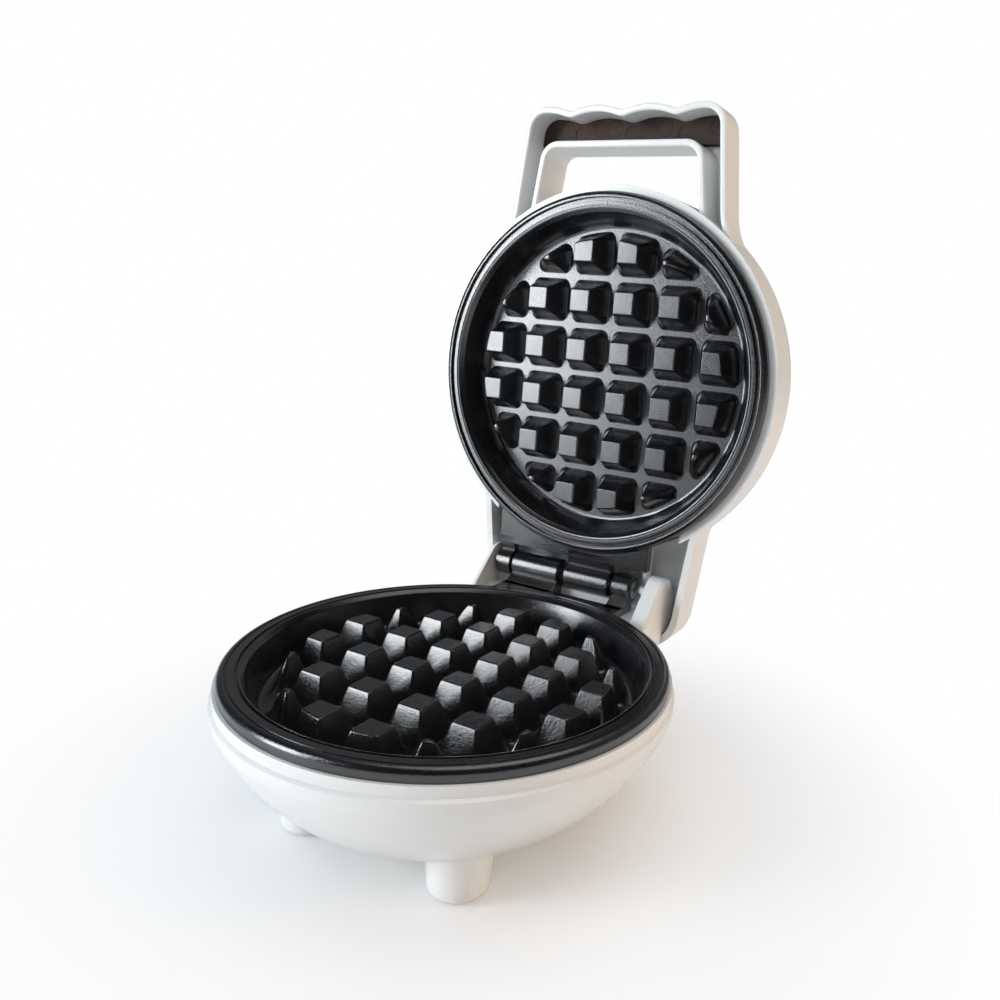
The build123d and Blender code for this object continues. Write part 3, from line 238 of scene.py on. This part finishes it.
paint("braided_sleeve", finish_with(
    "lead_sleeving", weave, ((0.45, 0.44, 0.41), (0.78, 0.77, 0.73)), (0.6, 0.85),
    1050, 0, 0.0, 0.00010, Sheen_Weight=0.2,
))


# Leads. Stranded wire in red heat-proof silicone, from the terminal block to thermostat,
# fuse and heating tubes, and from the lid's tube to its lamp. Soft and slightly dusty.
paint("lead_insulation", finish_with(
    "red_silicone", fine_grain, ((0.58, 0.075, 0.06), (0.72, 0.11, 0.085)), (0.42, 0.6),
    2400, 180, 0.2, 0.00003, Specular_IOR_Level=0.45,
))


# Hinge pin. A ground steel pin through the four knuckles, with a flat head on the left and
# a clip on its right end. Grinding leaves fine lines round it.
ground_lines = grain_texture("ground_lines", flatten=(1, 0.03, 0.03))
paint("pin_steel", finish_with(
    "ground_steel", ground_lines, ((0.46, 0.46, 0.47), (0.58, 0.58, 0.58)), (0.18, 0.34),
    5200, 300, 0.6, 0.00002, Metallic=1.0,
))


# Lower grill plate. One aluminium casting: a dish with a grid of blunt pyramids, a stepped
# rim with two turned grooves, a web and two hinge knuckles. Sprayed with black non-stick
# coat and baked, so it is satin, with a fine sparkle of grain in its reflections.
MM = Matrix.Scale(0.001, 4)
PLATE_Y = -20.496    # the plates' middle, so that the whole footprint is centred
RIM_HEIGHT = 48.2
HINGE_Y = 74.0       # the hinge axis, behind and above the lower rim's middle
HINGE_Z = 4.4
base_place = MM @ Matrix.Translation((0, PLATE_Y, RIM_HEIGHT))


def revolved(bm, outline, steps, closed=False, angle=360.0, start=0.0, place=Matrix()):
    """an outline of (radius, height) points spun about Z"""
    shape = bmesh.new()
    turn = math.radians(start)
    line = [shape.verts.new((r * math.cos(turn), r * math.sin(turn), z)) for r, z in outline]
    pairs = list(zip(line, line[1:])) + ([(line[-1], line[0])] if closed else [])
    edges = [shape.edges.new(pair) for pair in pairs]
    bmesh.ops.spin(
        shape, geom=line + edges, cent=(0, 0, 0), axis=(0, 0, 1),
        angle=math.radians(angle), steps=steps, use_merge=angle >= 360,
    )
    bmesh.ops.remove_doubles(shape, verts=shape.verts, dist=0.0005)
    bmesh.ops.holes_fill(shape, edges=shape.edges, sides=0)
    bmesh.ops.recalc_face_normals(shape, faces=shape.faces)
    shape.transform(place)
    pour(shape, bm)


def pour(shape, bm):
    """adds a finished shape to the piece"""
    mesh = bpy.data.meshes.new("poured")
    shape.to_mesh(mesh)
    shape.free()
    bm.from_mesh(mesh)
    bpy.data.meshes.remove(mesh)


def sharp_edges(shape, limit):
    """edges whose two faces turn by more than limit degrees"""
    return [
        e for e in shape.edges
        if len(e.link_faces) == 2 and e.calc_face_angle() > math.radians(limit)
    ]


def ease(shape, edges, width, segments):
    """rounds edges over"""
    bmesh.ops.bevel(
        shape, geom=edges, offset=width, offset_type="OFFSET", segments=segments,
        profile=0.5, affect="EDGES", clamp_overlap=True, material=-1,
    )


def bar(bm, points, left, right, width):
    """a section of (y, z) points drawn out from left to right, its edges rounded"""
    shape = bmesh.new()
    face = shape.faces.new([shape.verts.new((left, y, z)) for y, z in points])
    drawn = bmesh.ops.extrude_face_region(shape, geom=[face])
    moved = [v for v in drawn["geom"] if isinstance(v, bmesh.types.BMVert)]
    bmesh.ops.translate(shape, verts=moved, vec=(right - left, 0, 0))
    bmesh.ops.recalc_face_normals(shape, faces=shape.faces)
    ease(shape, sharp_edges(shape, 25), width, 2)
    pour(shape, bm)


def make_piece(name, bm, place, body, material, nodes):
    """a finished mesh as an object that rides a body and stands for CAD nodes"""
    bm.transform(place)
    mesh = bpy.data.meshes.new(name)
    bm.to_mesh(mesh)
    bm.free()
    mesh.shade_smooth()
    mesh.set_sharp_from_angle(angle=math.radians(32))
    mesh.materials.append(material)
    piece = bpy.data.objects.new(name, mesh)
    bpy.context.scene.collection.objects.link(piece)
    flats = piece.modifiers.new("flats_stay_flat", "WEIGHTED_NORMAL")
    flats.keep_sharp = True
    flats.weight = 80
    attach(piece, body)
    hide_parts(*nodes)


# millimetres, with heights from the top of the rim
RIM_RADIUS = 63.5
FLOOR = -11.5
FLOOR_RADIUS = 53.5
WALL_TOP = (56.3, -1.3)      # where the dish's wall meets the slope up to the rim
RIM_INNER = 57.6
UNDER = -14.5
UNDER_RADIUS = 56.0
NECK_RADIUS = 58.9           # the dish's outside under the flange
FLANGE_UNDER = -3.0
SKIRT = -3.6
SKIRT_INNER = 61.3
GROOVE_DRAFT = 0.05
CROWN = -2.1
PITCH = 17.34
GRID_ROWS = 6
BUMP_FOOT = 14.5
BUMP_CROWN = 7.6
GRID_CIRCLE = 50.8
PLATE_STEPS = 180
WEB_FRONT = 58.5             # the web's front edge, an arc under the rim
WEB_BACK = 66.4
WEB_STEPS = 16
GUSSET_FRONT = 63.4
GUSSET_INSET = 0.05
KNUCKLE_RADIUS = 5.0
KNUCKLE_EDGE = 0.4
PIN_HOLE = 2.05
CLAMP_POST = (1.45, 2.6, 6.5)      # hole radius, radius, height
SHIELD_POST = (1.95, 3.6, 10.9)
CLAMP_POST_FOOT = -21.0
SHIELD_POST_FOOT = -25.4
SHIELD_POST_CIRCLE = 46
CLAMP_POST_CIRCLES = (29.0, 43.0)
BRACKET_POST = 11.9
TUBE_RIBS = (39.3, 31.2)           # inner radii of the ribs on both sides of the tube
RIB_WIDTH = 1.5
RIB_FOOT = -18.1
RIB_GAP = 25.0                     # half the gap where the tube's ends come out


# height above the floor, how far the outline stands outside the straight flank, corner radius
BUMP_LEVELS = [
    (-0.1, 0.7, 3.0), (0.1, 0.38, 2.8), (0.35, 0.14, 2.6), (0.8, 0, 2.4), (2.5, 0, 2.0),
    (4.2, 0, 1.6), (5.6, 0, 1.3), (6.8, 0, 1.0), (7.8, 0, 0.8), (8.9, 0, 0.6),
    (9.18, -0.05, 0.55), (9.34, -0.17, 0.5), (9.4, -0.36, 0.45),
]
BUMP_SIDES = 48
CORE_STEPS = 24      # points on half a side of the outline
ARC_PARTS = 90       # points per radian of the grid's circle
ARC_POINTS = 566


def grid_bump(bm, x, y):
    """one blunt pyramid: rounded outlines, trimmed at the grid's circle, joined upwards"""
    cell = bmesh.new()
    lean = (BUMP_FOOT - BUMP_CROWN) / 2 / (CROWN - FLOOR)
    middle = Vector((x, y))
    below = []
    for height, spread, corner in BUMP_LEVELS:
        half = BUMP_FOOT / 2 - lean * height + spread - corner
        reach = GRID_CIRCLE - lean * height + spread - corner
        core = [
            middle + Vector((i * half / CORE_STEPS, j * half / CORE_STEPS))
            for i in range(-CORE_STEPS, CORE_STEPS + 1) for j in (-CORE_STEPS, CORE_STEPS)
        ]
        core += [
            middle + Vector((j * half / CORE_STEPS, i * half / CORE_STEPS))
            for i in range(-CORE_STEPS, CORE_STEPS + 1) for j in (-CORE_STEPS, CORE_STEPS)
        ]
        core = [point for point in core if point.length < reach]
        around = [
            reach * Vector((math.cos(turn / ARC_PARTS), math.sin(turn / ARC_PARTS)))
            for turn in range(ARC_POINTS)
        ]
        core += [point for point in around if max(abs(point.x - x), abs(point.y - y)) < half]
        if not core:
            break
        ring = []
        for side in range(BUMP_SIDES):
            turn = (side + 0.5) * 2 * math.pi / BUMP_SIDES
            out = Vector((math.cos(turn), math.sin(turn)))
            spot = max(core, key=out.dot) + corner * out
            ring.append(cell.verts.new((spot.x, spot.y, FLOOR + height)))
        for i in range(BUMP_SIDES if below else 0):
            cell.faces.new((below[i - 1], below[i], ring[i], ring[i - 1]))
        below = ring
    bmesh.ops.holes_fill(cell, edges=cell.edges, sides=0)
    bmesh.ops.recalc_face_normals(cell, faces=cell.faces)
    pour(cell, bm)


def grill_plate(name, place, body, grooves, knuckles, axis_z, web, web_span, node):
    """a dish, its grid, its web and its knuckles, cooking face up"""
    bm = bmesh.new()
    dish = bmesh.new()
    outline = [(0, FLOOR), (FLOOR_RADIUS, FLOOR), WALL_TOP, (RIM_INNER, 0)]
    for radius, width, depth in sorted(grooves):
        outline += [
            (radius - width / 2, 0),
            (radius - width / 2 + GROOVE_DRAFT, -depth),
            (radius + width / 2 - GROOVE_DRAFT, -depth),
            (radius + width / 2, 0),
        ]
    outline += [
        (RIM_RADIUS, 0), (RIM_RADIUS, SKIRT), (SKIRT_INNER, SKIRT), (SKIRT_INNER, FLANGE_UNDER),
        (NECK_RADIUS, FLANGE_UNDER), (UNDER_RADIUS, UNDER), (0, UNDER),
    ]
    revolved(dish, outline, PLATE_STEPS)
    bmesh.ops.remove_doubles(dish, verts=dish.verts, dist=0.0005)

    def ring(radius, height):
        """the dish's edges that lie on one circle"""
        return [
            e for e in dish.edges
            if all(
                abs(v.co.xy.length - radius) < 0.01 and abs(v.co.z - height) < 0.01
                for v in e.verts
            )
        ]

    ease(dish, ring(RIM_RADIUS, 0), 1.8, 7)
    ease(dish, ring(RIM_RADIUS, SKIRT), 0.3, 2)
    ease(dish, ring(FLOOR_RADIUS, FLOOR), 1.6, 5)
    ease(dish, ring(*WALL_TOP) + ring(RIM_INNER, 0), 0.35, 3)
    for radius, width, depth in grooves:
        ease(dish, ring(radius - width / 2, 0) + ring(radius + width / 2, 0), 0.14, 2)
    pour(dish, bm)
    rows = [(i - (GRID_ROWS - 1) / 2) * PITCH for i in range(GRID_ROWS)]
    for x in rows:
        for y in rows:
            if math.hypot(abs(x) - BUMP_FOOT / 2, abs(y) - BUMP_FOOT / 2) < GRID_CIRCLE:
                grid_bump(bm, x, y)
    low, high = web
    left, right = web_span
    shape = bmesh.new()
    turns = [math.atan2(math.sqrt(WEB_FRONT ** 2 - x ** 2), x) for x in (left, right)]
    arc = [turns[0] + (turns[1] - turns[0]) * step / WEB_STEPS for step in range(WEB_STEPS + 1)]
    plan = [(WEB_FRONT * math.cos(turn), WEB_FRONT * math.sin(turn)) for turn in arc]
    plan += [(right, WEB_BACK), (left, WEB_BACK)]
    face = shape.faces.new([shape.verts.new((x, y, low)) for x, y in plan])
    drawn = bmesh.ops.extrude_face_region(shape, geom=[face])
    moved = [v for v in drawn["geom"] if isinstance(v, bmesh.types.BMVert)]
    bmesh.ops.translate(shape, verts=moved, vec=(0, 0, high - low))
    bmesh.ops.recalc_face_normals(shape, faces=shape.faces)
    ease(shape, sharp_edges(shape, 40), 0.3, 2)
    pour(shape, bm)
    for start, end in knuckles:
        gusset = [
            (GUSSET_FRONT, low), (HINGE_Y, low), (HINGE_Y, axis_z),
            (WEB_BACK, high), (GUSSET_FRONT, high),
        ]
        bar(bm, gusset, start + GUSSET_INSET, end - GUSSET_INSET, 0.3)
        length = end - start
        barrel = [
            (PIN_HOLE, 0), (KNUCKLE_RADIUS - KNUCKLE_EDGE, 0), (KNUCKLE_RADIUS, KNUCKLE_EDGE),
            (KNUCKLE_RADIUS, length - KNUCKLE_EDGE), (KNUCKLE_RADIUS - KNUCKLE_EDGE, length),
            (PIN_HOLE, length),
        ]
        along = Matrix.Translation((start, HINGE_Y, axis_z)) @ Matrix.Rotation(math.pi / 2, 4, "Y")
        revolved(bm, barrel, 64, closed=True, place=along)

    def post(size, steps, x, y, foot):
        """a round post under the plate, bored for its screw"""
        hole, radius, height = size
        tube = [(hole, 0), (radius, 0), (radius, height), (hole, height)]
        revolved(bm, tube, steps, closed=True, place=Matrix.Translation((x, y, foot)))

    # underneath: posts for the heat shield, ribs beside the heating tube, posts for its clamps
    for count in range(3):
        turn = math.radians(90 + 120 * count)
        across, back = SHIELD_POST_CIRCLE * math.cos(turn), SHIELD_POST_CIRCLE * math.sin(turn)
        post(SHIELD_POST, 32, across, back, SHIELD_POST_FOOT)
        turn = math.radians(30 + 120 * count)
        for reach in CLAMP_POST_CIRCLES:
            across, back = reach * math.cos(turn), reach * math.sin(turn)
            post(CLAMP_POST, 24, across, back, CLAMP_POST_FOOT)
    for inner in TUBE_RIBS:
        outer = inner + RIB_WIDTH
        rib = [(inner, UNDER), (outer, UNDER), (outer, RIB_FOOT), (inner, RIB_FOOT)]
        gap = math.degrees(math.asin(RIB_GAP / inner))
        revolved(bm, rib, 60, closed=True, angle=360 - 2 * gap, start=90 + gap)
    for x in (-BRACKET_POST, BRACKET_POST):
        post(CLAMP_POST, 24, x, 0, CLAMP_POST_FOOT)
    make_piece(name, bm, place, body, non_stick, [node])


non_stick = finish_with(
    "non_stick_coat", fine_grain, ((0.004, 0.005, 0.006), (0.011, 0.012, 0.014)), (0.13, 0.24),
    1900, 60, 0.6, 0.00008, Specular_IOR_Level=1.0, Coat_Weight=0.3, Coat_Roughness=0.15,
)
grill_plate(
    "lower_grill_plate", base_place, "base", [(58.4, 0.8, 0.9), (61.2, 0.5, 0.35)],
    [(-27.3, -7.4), (15.0, 21.8)], HINGE_Z, (SKIRT, -0.5), (-27.3, 21.8), "lower_plate",
)


# Upper grill plate. The same casting face down in the lid, with one wide groove in its
# rim, a higher web and the other two knuckles, which sit between the lower plate's.
OPEN_ANGLE = 91.8
PLATE_GAP = 0.4      # between the two rims when the lid is closed
swing = Matrix.Rotation(math.radians(-OPEN_ANGLE), 4, "X")
lid_place = base_place @ Matrix.Translation((0, HINGE_Y, HINGE_Z)) @ swing
lid_place = lid_place @ Matrix.Translation((0, -HINGE_Y, -HINGE_Z))
face_down = lid_place @ Matrix.Translation((0, 0, PLATE_GAP)) @ Matrix.Rotation(math.pi, 4, "Y")
grill_plate(
    "upper_grill_plate", face_down, "lid", [(58.3, 0.4, 0.35), (60.6, 1.4, 1.1)],
    [(28.0, 34.6), (-13.4, 4.8)], PLATE_GAP - HINGE_Z, (-5.1, -1.6), (-27.3, 34.6), "upper_plate",
)


# Grip insert. A dark brown moulding snapped into the handle's channel, satin, with the round
# marks of the pins that pushed it out of its mould along its front.
MARK_RADIUS = 0.0029     # metres
MARK_PITCH = 0.0197
MARK_START = 0.0129      # across, to the middle of one mark
MARK_HEIGHT = 0.2132
pushed_out, inside, outside, place = texture("pushed_out")
nodes, links = pushed_out.nodes, pushed_out.links
grain_height, tone = grained(pushed_out, inside, place)
axes = nodes.new("ShaderNodeSeparateXYZ")
along = nodes.new("ShaderNodeMath")
along.operation = "WRAP"
along.inputs[1].default_value = MARK_START - MARK_PITCH / 2
along.inputs[2].default_value = MARK_START + MARK_PITCH / 2
spot = nodes.new("ShaderNodeCombineXYZ")
away = nodes.new("ShaderNodeVectorMath")
away.operation = "DISTANCE"
away.inputs[1].default_value = (MARK_START, 0, MARK_HEIGHT)
off_line = nodes.new("ShaderNodeMath")
off_line.operation = "SUBTRACT"
off_line.inputs[1].default_value = MARK_RADIUS
both_ways = nodes.new("ShaderNodeMath")
both_ways.operation = "ABSOLUTE"
line = nodes.new("ShaderNodeMapRange")
line.inputs["From Min"].default_value = 0.0002
line.inputs["From Max"].default_value = 0.0004
links.new(place.outputs["Object"], axes.inputs["Vector"])
links.new(axes.outputs["X"], along.inputs[0])
links.new(along.outputs["Value"], spot.inputs["X"])
links.new(axes.outputs["Z"], spot.inputs["Z"])
links.new(spot.outputs["Vector"], away.inputs[0])
links.new(away.outputs["Value"], off_line.inputs[0])
links.new(off_line.outputs["Value"], both_ways.inputs[0])
links.new(both_ways.outputs["Value"], line.inputs["Value"])
for value, result in ((grain_height, "Height"), (tone, "Tone")):
    marked = nodes.new("ShaderNodeMath")
    marked.operation = "MULTIPLY"
    links.new(value, marked.inputs[0])
    links.new(line.outputs["Result"], marked.inputs[1])
    links.new(marked.outputs["Value"], outside.inputs[result])
paint("brown_insert", finish_with(
    "brown_grip", pushed_out, ((0.014, 0.008, 0.006), (0.062, 0.034, 0.024)), (0.48, 0.62),
    2600, 120, 0.3, 0.00005, Specular_IOR_Level=0.2,
))


# Indicator lamp. A small glass bulb inside the hollow stem of a clear amber lens. The lens
# sits in a hole of the lid, and a push nut under the crown holds it.
paint("amber_lens", finish_with(
    "amber_lens", fine_grain, ((0.82, 0.27, 0.04), (0.90, 0.33, 0.06)), (0.08, 0.16),
    900, 200, 0.2, 0.00002, Transmission_Weight=0.7,
))
paint("lamp_glass", finish_with(
    "lamp_glass", fine_grain, ((0.88, 0.80, 0.70), (0.96, 0.90, 0.82)), (0.03, 0.09),
    600, 300, 0.2, 0.00001, Transmission_Weight=0.9,
))


# Floor. A plain pale sheet that the feet stand on. It keeps their shadow close by and fades
# to the plain white background.
bm = bmesh.new()
bmesh.ops.create_grid(bm, x_segments=1, y_segments=1, size=6.0)
floor_mesh = bpy.data.meshes.new("floor")
bm.to_mesh(floor_mesh)
bm.free()
floor = bpy.data.objects.new("floor", floor_mesh)
bpy.context.scene.collection.objects.link(floor)
pale = bpy.data.materials.new("pale_floor")
pale.use_nodes = True
nodes, links = pale.node_tree.nodes, pale.node_tree.links
shader = nodes["Principled BSDF"]
shader.inputs["Base Color"].default_value = (0.93, 0.93, 0.93, 1)
shader.inputs["Roughness"].default_value = 0.6
far = nodes.new("ShaderNodeEmission")
far.inputs["Color"].default_value = (1, 1, 1, 1)
place = nodes.new("ShaderNodeTexCoord")
reach = nodes.new("ShaderNodeVectorMath")
reach.operation = "LENGTH"
fade = nodes.new("ShaderNodeMapRange")
fade.interpolation_type = "SMOOTHSTEP"
fade.inputs["From Min"].default_value = 0.0
fade.inputs["From Max"].default_value = 0.18
rays = nodes.new("ShaderNodeLightPath")
seen = nodes.new("ShaderNodeMath")
seen.operation = "MULTIPLY"
mix = nodes.new("ShaderNodeMixShader")
links.new(place.outputs["Object"], reach.inputs[0])
links.new(reach.outputs["Value"], fade.inputs["Value"])
links.new(fade.outputs["Result"], seen.inputs[0])
links.new(rays.outputs["Is Camera Ray"], seen.inputs[1])
links.new(seen.outputs["Value"], mix.inputs["Fac"])
links.new(shader.outputs["BSDF"], mix.inputs[1])
links.new(far.outputs["Emission"], mix.inputs[2])
links.new(mix.outputs["Shader"], nodes["Material Output"].inputs["Surface"])
floor_mesh.materials.append(pale)


# Light. A pale room, cool on the left and warm on the right, whose far side is dim where it
# is mirrored, so that the black coat stays black; one tall window at the front left.
world = bpy.data.worlds.new("room")
bpy.context.scene.world = world
world.use_nodes = True
nodes, links = world.node_tree.nodes, world.node_tree.links
heading = nodes.new("ShaderNodeTexCoord")
split = nodes.new("ShaderNodeSeparateXYZ")
links.new(heading.outputs["Generated"], split.inputs["Vector"])
rightward = nodes.new("ShaderNodeMapRange")
rightward.interpolation_type = "SMOOTHSTEP"
rightward.inputs["From Min"].default_value = -0.3
rightward.inputs["From Max"].default_value = 0.8
links.new(split.outputs["X"], rightward.inputs["Value"])
warmth = nodes.new("ShaderNodeMix")
warmth.data_type = "RGBA"
warmth.inputs["A"].default_value = (0.56, 0.79, 1.0, 1)
warmth.inputs["B"].default_value = (1.0, 0.78, 0.62, 1)
links.new(rightward.outputs["Result"], warmth.inputs["Factor"])
room = nodes["Background"]
room.inputs["Strength"].default_value = 0.46
links.new(warmth.outputs["Result"], room.inputs["Color"])
backdrop = nodes.new("ShaderNodeBackground")
backdrop.inputs["Color"].default_value = (1, 1, 1, 1)
backdrop.inputs["Strength"].default_value = 1.0
mirrored = nodes.new("ShaderNodeBackground")
mirrored.inputs["Color"].default_value = (0.94, 0.97, 1.0, 1)
behind = nodes.new("ShaderNodeMapRange")
behind.interpolation_type = "SMOOTHSTEP"
behind.inputs["From Min"].default_value = -0.1
behind.inputs["From Max"].default_value = 0.6
behind.inputs["To Min"].default_value = 0.02
behind.inputs["To Max"].default_value = 0.15
links.new(split.outputs["Y"], behind.inputs["Value"])
links.new(behind.outputs["Result"], mirrored.inputs["Strength"])
rays = nodes.new("ShaderNodeLightPath")
clear = nodes.new("ShaderNodeMath")
clear.operation = "MAXIMUM"
glossy = nodes.new("ShaderNodeMixShader")
mix = nodes.new("ShaderNodeMixShader")
links.new(rays.outputs["Is Glossy Ray"], glossy.inputs["Fac"])
links.new(room.outputs["Background"], glossy.inputs[1])
links.new(mirrored.outputs["Background"], glossy.inputs[2])
links.new(rays.outputs["Is Camera Ray"], clear.inputs[0])
links.new(rays.outputs["Is Transmission Ray"], clear.inputs[1])
links.new(clear.outputs["Value"], mix.inputs["Fac"])
links.new(glossy.outputs["Shader"], mix.inputs[1])
links.new(backdrop.outputs["Background"], mix.inputs[2])
links.new(mix.outputs["Shader"], nodes["World Output"].inputs["Surface"])


def soft_light(name, place, target, size, power, colour, mirrored=True):
    """a rectangular light aimed at a point, which glossy faces mirror or don't"""
    lamp = bpy.data.lights.new(name, "AREA")
    lamp.shape = "RECTANGLE"
    lamp.size, lamp.size_y = size
    lamp.energy = power
    lamp.color = colour
    holder = bpy.data.objects.new(name, lamp)
    aim = (Vector(target) - Vector(place)).to_track_quat("-Z", "Y")
    holder.matrix_world = Matrix.Translation(place) @ aim.to_matrix().to_4x4()
    holder.visible_glossy = mirrored
    bpy.context.scene.collection.objects.link(holder)


soft_light("window", (-0.675, -0.804, 0.34), (0, 0, 0.10), (0.36, 0.64), 9.4, (0.93, 0.97, 1.0))
soft_light("ceiling", (0.1, 0.15, 1.1), (0, 0, 0.08), (0.9, 0.9), 3.6, (1.0, 0.99, 0.97))
soft_light(
    "fill", (0.85, 0.38, 0.36), (0, 0, 0.08), (0.6, 0.6), 3.4, (1.0, 0.76, 0.55), mirrored=False,
)


# Camera. A close, wide view from the front right, level with the lid and leaning a little,
# fitted to the outlines of both plates.
azimuth, elevation, roll = math.radians(25.80), math.radians(10.49), math.radians(4.40)
back = Vector((
    math.sin(azimuth) * math.cos(elevation),
    -math.cos(azimuth) * math.cos(elevation),
    math.sin(elevation),
))
level = Vector((math.cos(azimuth), math.sin(azimuth), 0))
upward = back.cross(level)
right = math.cos(roll) * level + math.sin(roll) * upward
up = -math.sin(roll) * level + math.cos(roll) * upward
lens = bpy.data.cameras.new("camera")
lens.lens = 30.66
lens.sensor_width = 36.0
lens.shift_x = -0.125
lens.shift_y = -0.035
lens.clip_start = 0.01
camera = bpy.data.objects.new("camera", lens)
turned = Matrix((right, up, back)).transposed().to_4x4()
camera.matrix_world = Matrix.Translation((0.143177, -0.212018, 0.151552)) @ turned
bpy.context.scene.collection.objects.link(camera)
bpy.context.scene.camera = camera
bpy.context.scene.view_settings.view_transform = "Standard"
